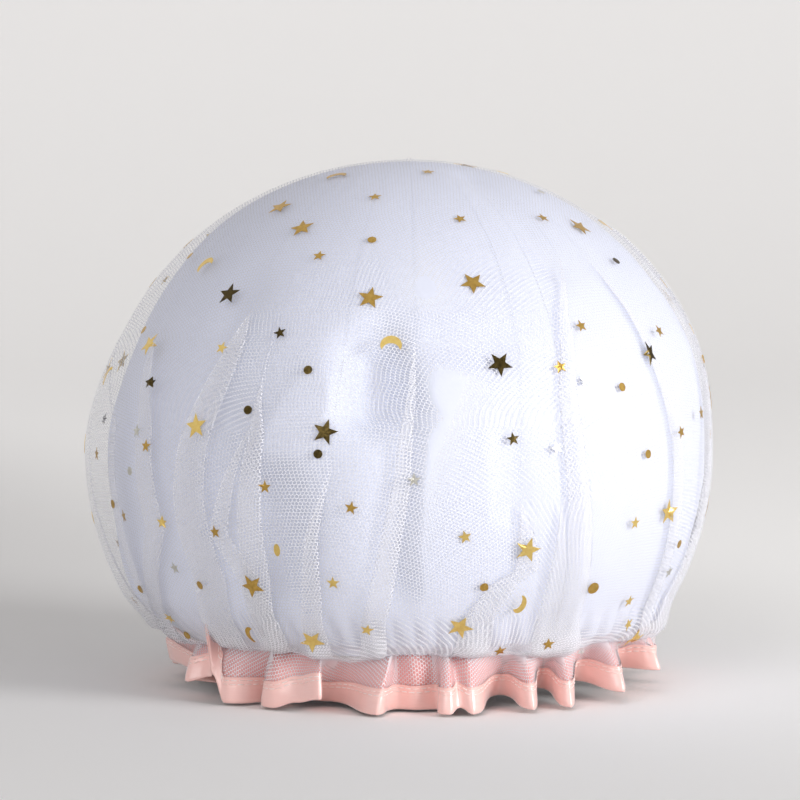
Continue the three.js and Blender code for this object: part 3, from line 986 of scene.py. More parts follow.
@dataclass
class Lining:
    """The lining's dome: opaque cloth with broad soft folds, standing a little inside the net."""

    dome: Dome
    camera: PhotoCamera
    ring_radius: float
    rows: int = 110
    columns: int = 792
    clearance: float = 1.7
    slack: float = 5.0
    slack_turn: float = -88.0
    slack_spread: float = 40.0
    slack_start: Span = (60, 160)
    slack_end: Span = (14, 60)
    back_slack: float = 1.2
    back_slack_start: Span = (10, 120)
    crown_hole: float = 1.5
    least_gap: float = 1.2
    seam_reach: float = 12.0
    hidden_folds: int = 22
    hidden_turns: Span = (72, 282)
    hidden_heads: Span = (60, 150)
    hidden_lengths: Span = (60, 130)
    hidden_wander: Span = (-0.05, 0.05)
    hidden_points: int = 5
    hidden_lifts: Span = (-3.6, 1.5)
    hidden_widths: Span = (8, 14)
    foot_margin: float = 20.0
    gather_pinches: int = 36
    pinch_drift: Waves = ((3, 1.6), (7, 0.7))
    pinch_phases: tuple[float, ...] = (1.0, 0.0)
    pinch_power: int = 4
    pinch_growth: float = 1.15
    pinch_calm: float = 8.0
    behind_shares: Span = (0.25, 0.9)
    front_depth: float = 3.5
    back_depth: float = 11.0
    front_reach: float = 22.0
    back_reach: float = 130.0
    overlap_height: float = 1.5
    overlap_shares: tuple[float, ...] = (0.35, 0.7, 1.0)

    def folds(self) -> list[tuple[np.ndarray, float, float]]:
        """Lists the folds, the photographed ones first.

        Returns:
            For each, its line of points on the dome, its lift and its width.
        """
        seen = [
            SoftFold(((366, 358), (370, 400)), -11.5, 11.0),
            SoftFold(((380, 330), (392, 380), (405, 415), (395, 490), (390, 555), (395, 590)), -3.4, 9.0),
            SoftFold(((240, 290), (228, 325), (205, 365), (192, 400)), -2.0, 11.0),
            SoftFold(((220, 420), (210, 520)), -2.5, 11.0),
            SoftFold(((262, 490), (268, 530), (262, 585)), -7.0, 12.0),
            SoftFold(((365, 330), (330, 380), (275, 450)), 2.6, 10.0),
            SoftFold(((255, 460), (257, 590)), 1.8, 6.0),
            SoftFold(((350, 412), (460, 418)), -1.2, 5.0),
            SoftFold(((440, 338), (490, 345)), -1.8, 9.0),
            SoftFold(((505, 440), (510, 505)), -1.6, 8.0),
            SoftFold(((450, 420), (455, 590)), 2.0, 18.0),
            SoftFold(((470, 172), (520, 215), (555, 262)), -1.8, 7.0),
        ]
        found = []
        for fold in seen:
            places = np.array([self.dome.seen_at(self.camera, pixel) for pixel in fold.pixels])
            line = self.dome.placed(places[:, 0], places[:, 1], np.zeros(len(places)))
            found.append((line, fold.lift, fold.width))
        random = np.random.default_rng(SEED + 2)
        for turn in np.linspace(*np.radians(self.hidden_turns), self.hidden_folds):
            head = draw(random, self.hidden_heads)
            run = np.linspace(head, head + draw(random, self.hidden_lengths), self.hidden_points)
            run = np.minimum(run, self.dome.length - self.foot_margin)
            wander = random.uniform(*self.hidden_wander, self.hidden_points)
            line = self.dome.placed(turn + np.cumsum(wander), run, np.zeros(self.hidden_points))
            found.append((line, draw(random, self.hidden_lifts), draw(random, self.hidden_widths)))
        return found

    def build(self, material: bpy.types.Material) -> None:
        """Builds the lining's piece.

        Args:
            material: the coated cloth.
        """
        runs = self.crown_hole + (self.dome.length - self.crown_hole) * np.linspace(0, 1, self.rows)
        turns = np.linspace(0, FULL_TURN, self.columns, endpoint=False)
        turn, run = np.meshgrid(turns, runs)
        left = self.dome.length - run
        inner = smooth_step(0, self.seam_reach, left)
        slack_end = smooth_step(*self.slack_end, left)
        away = np.degrees(np.angle(np.exp(1j * (turn - math.radians(self.slack_turn)))))
        rim = self.slack * np.exp(-((away / self.slack_spread) ** 2)) * slack_end
        rim = rim * smooth_step(*self.slack_start, run)
        back = self.back_slack * (1 - np.cos(turn)) * slack_end * smooth_step(*self.back_slack_start, run)
        lift = -(self.clearance + rim + back) * inner
        smooth = self.dome.placed(turn, run, np.zeros_like(run))
        for line, depth, width in self.folds():
            gap = np.full(run.shape, np.inf)
            for start, end in zip(line[:-1], line[1:]):
                span = end - start
                part = np.clip(((smooth - start) @ span) / max(float(span @ span), TINY), 0, 1)
                gap = np.minimum(gap, np.linalg.norm(smooth - start - part[..., None] * span, axis=-1))
            lift = lift + depth * np.exp(-((gap / width) ** 2))
        lift = np.minimum(lift, -self.least_gap * inner)
        waves = self.gather_pinches * turn + rippled(turn, self.pinch_drift, self.pinch_phases)
        pinch = np.abs(np.cos(waves)) ** self.pinch_power
        behind = smooth_step(*self.behind_shares, (1 - np.cos(turn)) / 2)
        reach = self.front_reach + (self.back_reach - self.front_reach) * behind
        nearness = np.clip(self.pinch_growth * (1 - left / reach), 0, 1)
        depth = self.front_depth + (self.back_depth - self.front_depth) * behind
        lift = lift - depth * pinch * nearness * smooth_step(0, self.pinch_calm, left)
        lift = lift - (self.dome.gather_radius - self.ring_radius) * smooth_step(self.seam_reach, 0, left)
        grid = self.dome.placed(turn, run, lift)
        heights = [self.dome.gather_height - self.overlap_height * share for share in self.overlap_shares]
        bands = [self.dome.gather_ring(turns, self.ring_radius, height) for height in heights]
        grid = np.concatenate([grid, np.stack(bands)])
        top = self.dome.placed(np.zeros(1), np.zeros(1), np.full(1, -self.clearance))
        points = np.concatenate([grid.reshape(-1, 3), top])
        faces = grid_faces(grid.shape[0], self.columns) + tip_faces(len(points) - 1, self.columns)
        piece = make_piece("inner_lining_cloth", points, faces, material, ["inner_lining"])


@dataclass(frozen=True)
class Lobe:
    """One lobe of the ruffle and the valley after it.

    Turns are in degrees from the front, and the rest in millimetres. The cloth turns away from the
    crest sooner on a side whose bend is under 1, which makes a crease there. With a roundness under 1
    its flanks run straight, between a crisp crest and a crisp valley.
    """

    gather: float
    crest: float
    crest_radius: float
    valley: float
    valley_radius: float
    crest_lift: float
    valley_lift: float
    bend_before: float
    bend_after: float
    roundness: float = 1.0


@dataclass(frozen=True)
class Knot:
    """A crest or a valley of the hem, with its turns there and at the gather in degrees."""

    turn: float
    radius: float
    lift: float
    gather: float

    def plan(self) -> np.ndarray:
        """Gives its place in plan."""
        angle = math.radians(self.turn)
        return np.array([self.radius * math.sin(angle), -self.radius * math.cos(angle)])


@dataclass
class Ruffle:
    """The ruffle's middle surface, from the gather to the hem, thrown into deep flaring lobes."""

    dome: Dome
    ribbon_width: float = 9.5
    half_columns: int = 17
    crest_grain: float = 1.7
    fine_steps: int = 1200
    hem_height: float = 0.95
    hem_shift: float = 5.0
    gather_depth: float = 1.8
    upper_rows: int = 10
    ring_radius: float = 90.6
    ring_share: float = 0.6
    bend_shares: tuple[float, ...] = (0.5, 0.5, 0.4)
    crest_swell: float = 1.6
    least_swell: float = 0.4
    most_ribbon_share: float = 0.95
    column_steps: int = 60
    ribbon_marks: tuple[float, ...] = (8.9, 8.3, 7.6, 6.9, 6.2, 5.0, 3.7, 2.4, 1.2, 0.4, 0.0)
    valley_margin: float = 0.25
    swing_range: Span = (0.02, 2.9)
    swing_count: int = 300
    table_steps: int = 200
    bridge: float = 3.0
    back_lobes: int = 13
    back_start: float = 82.0
    back_margin: float = 13.0
    back_shift: Span = (-2, 2)
    back_crest_radii: Span = (97, 102)
    back_valley_shares: Span = (0.38, 0.7)
    back_valley_radii: Span = (79, 84)
    back_lifts: Span = (0, 3)
    back_bends: Span = (1.2, 0.7)
    back_roundness: Span = (0.35, 0.9)
    side_tuck: float = 7.0
    side_lift: float = 4.0
    side_power: int = 4
    lobes: tuple[Lobe, ...] = (
        Lobe(-80, -79, 94, -53.5, 88, 8, 5, 1.2, 1.2),
        Lobe(-55, -54, 103.5, -49.0, 98.5, 6.2, 8.5, 1.0, 0.6),
        Lobe(-51, -48.6, 101.5, -46.9, 101, 28.5, 10, 1.0, 0.9),
        Lobe(-44, -43.9, 100, -32.5, 81.5, 0, 0, 0.8, 1.0),
        Lobe(-31, -31.5, 98.5, -26, 97.5, 0, 2.5, 1.6, 0.9),
        Lobe(-20, -20, 100, -22, 81, 4.5, 1, 1.0, 0.45),
        Lobe(-4, -7.8, 101.5, -4.0, 87, 0, 0, 1.0, 0.8, 0.5),
        Lobe(0.5, 0.5, 88.5, 5, 87.5, 0, 0, 1, 1),
        Lobe(8.5, 7.0, 100.5, 9.4, 98.0, 0, 2.0, 1.2, 0.9),
        Lobe(12.5, 11.8, 101, 22.5, 80, 0, 3.2, 0.9, 0.9, 0.5),
        Lobe(26, 24.6, 101.5, 34, 80, 0.6, 4.6, 1.0, 0.9, 0.35),
        Lobe(36, 33.6, 101.5, 46.5, 80, 0.3, 5.6, 1.0, 0.9, 0.35),
        Lobe(50, 48.2, 102.5, 66, 80, 3.5, 7.4, 1.0, 0.9, 0.35),
        Lobe(68, 66.4, 100, 77, 81, 7.5, 8, 1.0, 0.9, 0.35),
    )

    def all_lobes(self) -> list[Lobe]:
        """Lists the lobes round the hem, in order.

        Returns:
            The photographed lobes in front, and then the seeded ones behind.
        """
        random = np.random.default_rng(SEED + 4)
        last = self.lobes[0].gather + 360 - self.back_margin
        pitch = (last - self.back_start) / (self.back_lobes - 1)
        found = list(self.lobes)
        for number in range(self.back_lobes):
            gather = self.back_start + pitch * number + draw(random, self.back_shift)
            crest = gather + draw(random, self.back_shift)
            bends = self.back_bends if random.random() < 0.5 else self.back_bends[::-1]
            sideways = math.sin(math.radians(gather)) ** self.side_power
            crest_radius = draw(random, self.back_crest_radii) - self.side_tuck * sideways
            valley = gather + pitch * draw(random, self.back_valley_shares)
            valley_radius = draw(random, self.back_valley_radii)
            # Every third crest has no lift of its own.
            lifts = [draw(random, self.back_lifts) if number % 3 else 0.0, draw(random, self.back_lifts)]
            lifts = [lift + self.side_lift * sideways for lift in lifts]
            roundness = draw(random, self.back_roundness)
            found.append(Lobe(gather, crest, crest_radius, valley, valley_radius, *lifts, *bends, roundness))
        return found

    def wave_table(self, bend: float, roundness: float) -> tuple[np.ndarray, np.ndarray, np.ndarray]:
        """Works out, for each swing of a meandering curve, its half wave's slant and reach.

        Args:
            bend: the power that draws its turning towards the crest where it is under 1.
            roundness: how much of it turns, where 1 is all of it.

        Returns:
            The swings, the slants of their chords and the chords' lengths for a path of length 1.
        """
        swings = np.linspace(*self.swing_range, self.swing_count)
        t = (np.arange(self.table_steps) + 0.5) / self.table_steps
        heading = np.outer(swings, np.sin(math.pi * t**bend) ** roundness)
        ahead = np.cos(heading).mean(axis=1)
        drop = np.sin(heading).mean(axis=1)
        return swings, np.arctan2(drop, ahead), np.hypot(drop, ahead)

    def half_wave(
        self, first: Knot, second: Knot, inward: bool, bend: float, roundness: float, share: np.ndarray
    ) -> np.ndarray:
        """Draws a half wave of the hem in plan, tangent to the ring at both its ends.

        Args:
            first: the knot where it starts.
            second: the knot where it ends.
            inward: whether it goes from a crest to a valley.
            bend: the power that draws its turning towards the crest where it is under 1.
            roundness: how much of it turns, where 1 is all of it.
            share: how far along it each point lies.

        Returns:
            Its points in plan.
        """
        swings, slants, reaches = self.wave_table(bend, roundness)
        sign = 1.0 if inward else -1.0
        between = math.radians((first.turn + second.turn) / 2)
        along = np.array([math.cos(between), math.sin(between)])
        across = np.array([along[1], -along[0]])
        start = first.plan()
        chord = second.plan() - start
        slant = math.atan2(-float(chord @ across) * sign, float(chord @ along))
        swing = float(np.interp(slant, slants, swings))
        length = float(np.linalg.norm(chord)) / float(np.interp(slant, slants, reaches))
        count = self.fine_steps
        t = (np.arange(count) + 0.5) / count
        heading = swing * np.sin(math.pi * (t if inward else 1 - t) ** bend) ** roundness
        steps = np.outer(np.cos(heading), along) - sign * np.outer(np.sin(heading), across)
        path = np.concatenate([np.zeros((1, 2)), np.cumsum(steps, axis=0) * length / count])
        path = path + np.outer(np.linspace(0, 1, len(path)), chord - path[-1])
        return start + path[np.round(share * count).astype(int)]

    def hem(self) -> tuple[np.ndarray, np.ndarray, np.ndarray]:
        """Draws the hem's path.

        Returns:
            Its points, for each how near it is to its crest, from 0 to 1, and each one's turn at the gather.
        """
        lobes = self.all_lobes()
        even = np.arange(self.half_columns) / self.half_columns
        points, nearness, gathers = [], [], []
        for number, lobe in enumerate(lobes):
            wrap = 360 if number == len(lobes) - 1 else 0
            following = lobes[(number + 1) % len(lobes)]
            span = following.gather + wrap - lobe.gather
            reach = max(lobe.valley - lobe.gather, self.valley_margin * span)
            middle = lobe.gather + min(reach, (1 - self.valley_margin) * span)
            next_turn = following.crest + wrap
            next_gather = following.gather + wrap
            crest = Knot(lobe.crest, lobe.crest_radius, lobe.crest_lift, lobe.gather)
            valley = Knot(lobe.valley, lobe.valley_radius, lobe.valley_lift, middle)
            next_crest = Knot(next_turn, following.crest_radius, following.crest_lift, next_gather)
            halves = (
                (True, crest, valley, lobe.bend_after, lobe.roundness),
                (False, valley, next_crest, following.bend_before, following.roundness),
            )
            for inward, first, second, bend, roundness in halves:
                share = even**self.crest_grain if inward else 1 - (1 - even) ** self.crest_grain
                path = self.half_wave(first, second, inward, bend, roundness, share)
                near = np.cos(math.pi * share / 2) ** 2
                lift = near * first.lift + (1 - near) * second.lift
                points.append(np.column_stack([path, lift + self.hem_height]))
                nearness.append(near if inward else 1 - near)
                gathers.append(np.radians(first.gather + (second.gather - first.gather) * share))
        return np.concatenate(points), np.concatenate(nearness), np.concatenate(gathers)

    def crest_nearness(self, turn: np.ndarray) -> np.ndarray:
        """Gives how near the gather is to a crest of the ruffle at each turn, from 0 to 1."""
        _, near, ring_turn = self.hem()
        return np.interp(turn, ring_turn, near, period=FULL_TURN)

    def build(self) -> tuple[np.ndarray, np.ndarray, list[float]]:
        """Builds the middle surface.

        Returns:
            Its grid of points, its outward normals, and each row's distance from the hem,
            where the rows above the ribbon count from -1 at the gather to 0 at the ribbon's edge.
        """
        hem, near, ring_turn = self.hem()
        hem[:, 0] += self.hem_shift
        ring_radius = self.ring_radius + self.gather_depth * (near - self.ring_share)
        ring_height = self.dome.gather_height + self.dome.foot_wave(ring_turn)
        ring = self.dome.gather_ring(ring_turn, ring_radius, ring_height)
        bend = ring + (hem - ring) * np.array(self.bend_shares)
        outward = turned(ring_turn, 1.0, 0.0)
        bend = bend + outward * (self.crest_swell * near + self.least_swell)[:, None]
        drop = np.linalg.norm(hem - bend, axis=-1, keepdims=True)
        edge = hem + (bend - hem) * np.minimum(self.ribbon_width / drop, self.most_ribbon_share)
        t = np.linspace(0, 1, self.column_steps)[:, None, None]
        column = (1 - t) ** 2 * ring + 2 * t * (1 - t) * bend + t**2 * edge
        column = np.concatenate([column, hem[None]])
        length = travelled(np.linalg.norm(np.diff(column, axis=0), axis=-1))
        total = length[-1]
        upper = np.linspace(0, 1, self.upper_rows)
        rows = [share * (total - self.ribbon_width) for share in upper]
        rows += [total - distance for distance in self.ribbon_marks]
        grid = np.zeros((len(rows), len(near), 3))
        for number, along in enumerate(rows):
            for axis in range(3):
                grid[number, :, axis] = [
                    np.interp(along[k], length[:, k], column[:, k, axis]) for k in range(len(near))
                ]
        marks = [float(share - 1) for share in upper[:-1]] + [self.ribbon_width, *self.ribbon_marks]
        return grid, surface_normals(grid), marks


@dataclass
class RuffleLayers:
    """The ruffle's cloths: net outside, satin facing inside, and the ribbon folded over their hem."""

    ruffle: Ruffle
    grid: np.ndarray
    normals: np.ndarray
    marks: list[float]
    net_offset: float = 0.3
    net_density: float = 1.25
    net_clear_rows: int = 3
    net_closing: float = 0.35
    closing_slope: float = 1.6
    closing_start: float = 0.6
    facing_offset: float = -0.2
    facing_clear_rows: int = 2
    casing_rows: int = 5
    ribbon_puff: float = 0.16
    puff_width: float = 6.9
    puff_power: float = 0.7
    ribbon_seat: float = 0.36
    seat_width: float = 0.9
    ribbon_edge_lift: float = 0.18
    ribbon_edge_width: float = 0.8
    inner_share: float = 0.9
    floor_gap: float = 0.06

    def moved(self, rows: Sequence[int], offset: float) -> np.ndarray:
        """Gives some rows of the surface, moved off it along its normals."""
        return self.grid[list(rows)] + self.normals[list(rows)] * offset

    def net(self) -> tuple[np.ndarray, np.ndarray, np.ndarray, Faces]:
        """Builds the net's share of the ruffle.

        Returns:
            Its points, their places on the flat net, how gathered each is, and its faces.
        """
        rows = range(len(self.marks) - self.net_clear_rows)
        marks = np.array(self.marks[: len(rows)])
        points = self.moved(rows, self.net_offset)
        _, near, ring_turn = self.ruffle.hem()
        outward = turned(ring_turn, near * self.ruffle.bridge, 0.0)
        points = points + outward * np.clip(-marks, 0, 1)[:, None, None]
        steps = steps_round(self.grid[rows[-1]])
        spun = FULL_TURN * (np.cumsum(steps) - steps) / steps.sum()
        fall = np.linalg.norm(np.diff(points, axis=0), axis=-1).mean(axis=1)
        runs = steps.sum() / FULL_TURN + travelled(fall)
        flat = np.stack([np.outer(runs, np.sin(spun)), -np.outer(runs, np.cos(spun))], axis=-1)
        nearness = np.clip(-self.closing_slope * marks - self.closing_start, 0, 1)
        drawn = 1 + self.net_closing * nearness[:, None]
        return points, flat * self.net_density, closing(points, flat) * drawn, grid_faces(*points.shape[:2])

    def strip_places(self, points: np.ndarray) -> np.ndarray:
        """Lays a strip out flat.

        Args:
            points: the strip's grid of points.

        Returns:
            Each point's place along the hem and across the strip.
        """
        around = steps_round(points[-1])
        along = np.cumsum(around) - around
        fall = np.linalg.norm(np.diff(points, axis=0), axis=-1).mean(axis=1)
        return np.stack(np.meshgrid(along, travelled(fall)), axis=-1)

    def facing(self, material: bpy.types.Material, band_radius: float, casing: Span) -> None:
        """Builds the satin facing, which runs up from the hem and closes the elastic's casing.

        Args:
            material: the facing's satin.
            band_radius: the casing band's inner radius.
            casing: the casing's lowest and highest height.
        """
        rows = range(len(self.marks) - self.facing_clear_rows)
        lower = self.moved(rows, self.facing_offset)[1:]
        dome = self.ruffle.dome
        turn = np.arctan2(self.grid[0, :, 0] - dome.gather_shift, -self.grid[0, :, 1])
        heights = np.linspace(casing[1], casing[0], self.casing_rows)
        bands = [dome.gather_ring(turn, band_radius, height) for height in heights]
        points = np.concatenate([np.stack(bands), lower])
        points[..., 2] = np.maximum(points[..., 2], self.floor_gap)
        faces = grid_faces(*points.shape[:2])
        flat = self.strip_places(points)
        piece = make_piece("satin_facing_cloth", points, faces, material, ["satin_facing"], flat)
        length = float(flat[-1, :, 0].max()) * MM
        width = float(flat[:, 0, 1].max()) * MM
        LOG.info("facing: %.3f m along the hem, %.4f m across", length, width)

    def binding(self, material: bpy.types.Material) -> np.ndarray:
        """Builds the ribbon, folded over the hem.

        Args:
            material: the ribbon's satin.

        Returns:
            The outer leaf's rows of points, from its edge down to the hem.
        """
        rows = list(range(self.ruffle.upper_rows - 1, len(self.marks)))
        marks = np.array(self.marks)[rows]
        width = self.ruffle.ribbon_width
        puffed = np.sin(math.pi * np.clip(marks / self.puff_width, 0, 1)) ** self.puff_power
        seat = self.ribbon_seat * np.sqrt(np.clip(marks / self.seat_width, 0, 1))
        edge = self.ribbon_edge_lift * smooth_step(width - self.ribbon_edge_width, width, marks)
        offset = seat + puffed * self.ribbon_puff + edge
        outer = self.grid[rows] + self.normals[rows] * offset[:, None, None]
        inner = self.grid[rows] - self.normals[rows] * (offset * self.inner_share)[:, None, None]
        leaf = np.concatenate([outer, inner[:-1][::-1]])
        leaf[..., 2] = np.maximum(leaf[..., 2], self.floor_gap)
        faces = grid_faces(*leaf.shape[:2])
        flat = self.strip_places(leaf)
        piece = make_piece("ribbon_binding_cloth", leaf, faces, material, ["ribbon_binding"], flat)
        around = float(flat[0, :, 0].max()) * MM
        across = float(flat[:, 0, 1].max()) * MM
        LOG.info("ribbon: %.3f m along the hem, %.4f m across", around, across)
        return outer


@dataclass(frozen=True)
class Stitch:
    """A kind of stitch, whose thread swells between its ends and sinks into the cloth at them."""

    length: float = 2.5
    gap: float = 0.45
    radius: float = 0.2
    sides: int = 6
    parts: tuple[float, ...] = (0.0, 0.12, 0.5, 0.88, 1.0)
    swells: tuple[float, ...] = (0.25, 0.9, 1.0, 0.9, 0.25)
    lifts: tuple[float, ...] = (-0.6, 0.2, 0.5, 0.2, -0.6)

    def row(self, path: np.ndarray, outward: np.ndarray) -> tuple[np.ndarray, Faces]:
        """Sews a row of stitches along a closed path.

        Args:
            path: the path's points, in millimetres.
            outward: the way off the cloth at each point.

        Returns:
            The stitches' points and faces.
        """
        closed = np.concatenate([path, path[:1]])
        ways = np.concatenate([outward, outward[:1]])
        steps = np.linalg.norm(np.diff(closed, axis=0), axis=1)
        along = travelled(steps)
        count = int(along[-1] / (self.length + self.gap))
        pitch = along[-1] / count
        rings = len(self.parts)
        points, faces = [], []
        for number in range(count):
            places = number * pitch + np.array(self.parts) * self.length
            centres = np.stack([np.interp(places, along, closed[:, axis]) for axis in range(3)], axis=1)
            ups = np.stack([np.interp(places, along, ways[:, axis]) for axis in range(3)], axis=1)
            ups = ups / np.linalg.norm(ups, axis=1, keepdims=True)
            centres = centres + ups * (np.array(self.lifts) * self.radius)[:, None]
            ahead = centres[-1] - centres[0]
            ahead = ahead / max(float(np.linalg.norm(ahead)), TINY)
            sideways = np.cross(ups, ahead)
            base = number * rings * self.sides
            for ring in range(rings):
                for corner in range(self.sides):
                    angle = FULL_TURN * corner / self.sides
                    offset = sideways[ring] * math.cos(angle) + ups[ring] * math.sin(angle)
                    points.append(centres[ring] + offset * self.radius * self.swells[ring])
            for ring in range(rings - 1):
                for corner in range(self.sides):
                    after = (corner + 1) % self.sides
                    lower = base + ring * self.sides
                    upper = lower + self.sides
                    faces.append((lower + corner, lower + after, upper + after, upper + corner))
            faces.append(tuple(base + corner for corner in reversed(range(self.sides))))
            end = base + (rings - 1) * self.sides
            faces.append(tuple(end + corner for corner in range(self.sides)))
        return np.array(points), faces


@dataclass
class Stitching:
    """The sewing: two rows along the ribbon's top edge and two that close the elastic's casing."""

    stitch: Stitch = Stitch()
    casing_points: int = 360

    def ribbon_rows(self, layers: RuffleLayers, outer: np.ndarray, material: bpy.types.Material) -> None:
        """Sews the two rows on the ribbon.

        Args:
            layers: the ruffle's cloths.
            outer: the rows of the ribbon's outer leaf.
            material: the thread.
        """
        first_row = layers.ruffle.upper_rows - 1
        for name, row in (("upper", 2), ("lower", 4)):
            points, faces = self.stitch.row(outer[row], layers.normals[first_row + row])
            points[:, 2] = np.maximum(points[:, 2], layers.floor_gap)
            make_piece(
                f"ribbon_stitches_{name}", points, faces, material, [f"ribbon_thread_{name}"]
            )

    def casing_rows(self, dome: Dome, band_radius: float, material: bpy.types.Material) -> None:
        """Sews the two rows that close the elastic's casing.

        Args:
            dome: the dome, whose foot the rows follow.
            band_radius: the casing band's inner radius.
            material: the thread.
        """
        turns = np.linspace(0, FULL_TURN, self.casing_points, endpoint=False)
        for name in ("upper", "lower"):
            node = f"casing_thread_{name}"
            low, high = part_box(node)
            height = (low[2] + high[2]) / 2 / MM
            path = dome.gather_ring(turns, band_radius, height)
            points, faces = self.stitch.row(path, turned(turns, -1.0, 0.0))
            make_piece(f"casing_stitches_{name}", points, faces, material, [node])


@dataclass
class Elastic:
    """The elastic in its casing: one knitted band whose ends overlap under a bar tack."""

    dome: Dome
    thickness: float = 0.8
    width: float = 6.0
    overlap: float = 14.0
    inset_share: float = 1.5
    lap_share: float = 0.55
    climb_margin: float = 0.2
    steps: int = 240
    tack_passes: int = 9
    tack_inset: float = 0.6
    tack_width: float = 2.4
    tack_depth: float = 1.0
    tack_stitch: Stitch = Stitch(4.4, 0.4)
    casing_below: float = 0.5
    casing_above: float = 0.8
    casing_depth: float = 2.6
    lining_gap: float = 0.4

    def build(self, material: bpy.types.Material, thread: bpy.types.Material) -> float:
        """Builds the band and its tack.

        Args:
            material: the elastic's finish.
            thread: the tack's thread.

        Returns:
            The band's outer radius.
        """
        low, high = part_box("elastic_band")
        outer = (high[0] - low[0]) / 2 / MM
        bottom = low[2] / MM
        top = high[2] / MM
        middle_radius = outer - self.thickness * self.inset_share
        lap = self.overlap / middle_radius
        turns = np.linspace(-lap / 2, FULL_TURN + lap / 2, self.steps) + math.pi
        climb = smooth_step(0, 1, np.linspace(-self.climb_margin, 1 + self.climb_margin, self.steps))
        radius = middle_radius - self.thickness * self.lap_share
        radius = radius + climb * self.thickness * (2 * self.lap_share)
        section = [(0.5, bottom), (0.5, top), (-0.5, top), (-0.5, bottom)]
        rings = [
            self.dome.gather_ring(turns, radius + across * self.thickness, height)
            for across, height in section
        ]
        points = np.stack(rings, axis=1)
        corners = len(section)
        faces = []
        for step in range(self.steps - 1):
            for corner in range(corners):
                after = (corner + 1) % corners
                here = step * corners
                there = here + corners
                faces.append((here + corner, there + corner, there + after, here + after))
        faces.append(tuple(reversed(range(corners))))
        faces.append(tuple((self.steps - 1) * corners + corner for corner in range(corners)))
        along = turns * middle_radius
        across = np.tile([0.0, self.width, self.width, 0.0], (self.steps, 1))
        flat = np.stack([np.repeat(along[:, None], corners, 1), across], -1)
        make_piece("elastic_band_knit", points, faces, material, ["elastic_band"], flat)
        passes = []
        for number in range(self.tack_passes * 2 + 1):
            share = number / (self.tack_passes * 2)
            height = bottom + self.tack_inset if number % 2 else top - self.tack_inset
            turn = math.pi + (share - 0.5) * self.tack_width / middle_radius
            passes.append(self.dome.gather_ring(turn, middle_radius - self.tack_depth, height))
        path = np.array(passes)
        inward = -path * np.array([1, 1, 0])
        inward = inward / np.linalg.norm(inward, axis=1, keepdims=True)
        tack_points, tack_faces = self.tack_stitch.row(path, inward)
        make_piece("elastic_bar_tack", tack_points, tack_faces, thread, ["elastic_tack"])
        return outer


class Motif(Enum):
    """The foil motifs' outlines, each with its reach in millimetres."""

    LARGE_STAR = ("star", 9.5)
    SMALL_STAR = ("star", 5.0)
    CRESCENT = ("crescent", 8.0)
    LARGE_DOT = ("dot", 4.6)
    SMALL_DOT = ("dot", 3.2)


@dataclass(frozen=True)
class Foil:
    """One foil motif, by the pixel that it is seen at."""

    pixel: Pixel
    spin: float = 0.0
    tone: FoilTone = FoilTone.WARM
    width_share: float = 1.0


Plates = dict[FoilTone, list[tuple[np.ndarray, Faces]]]


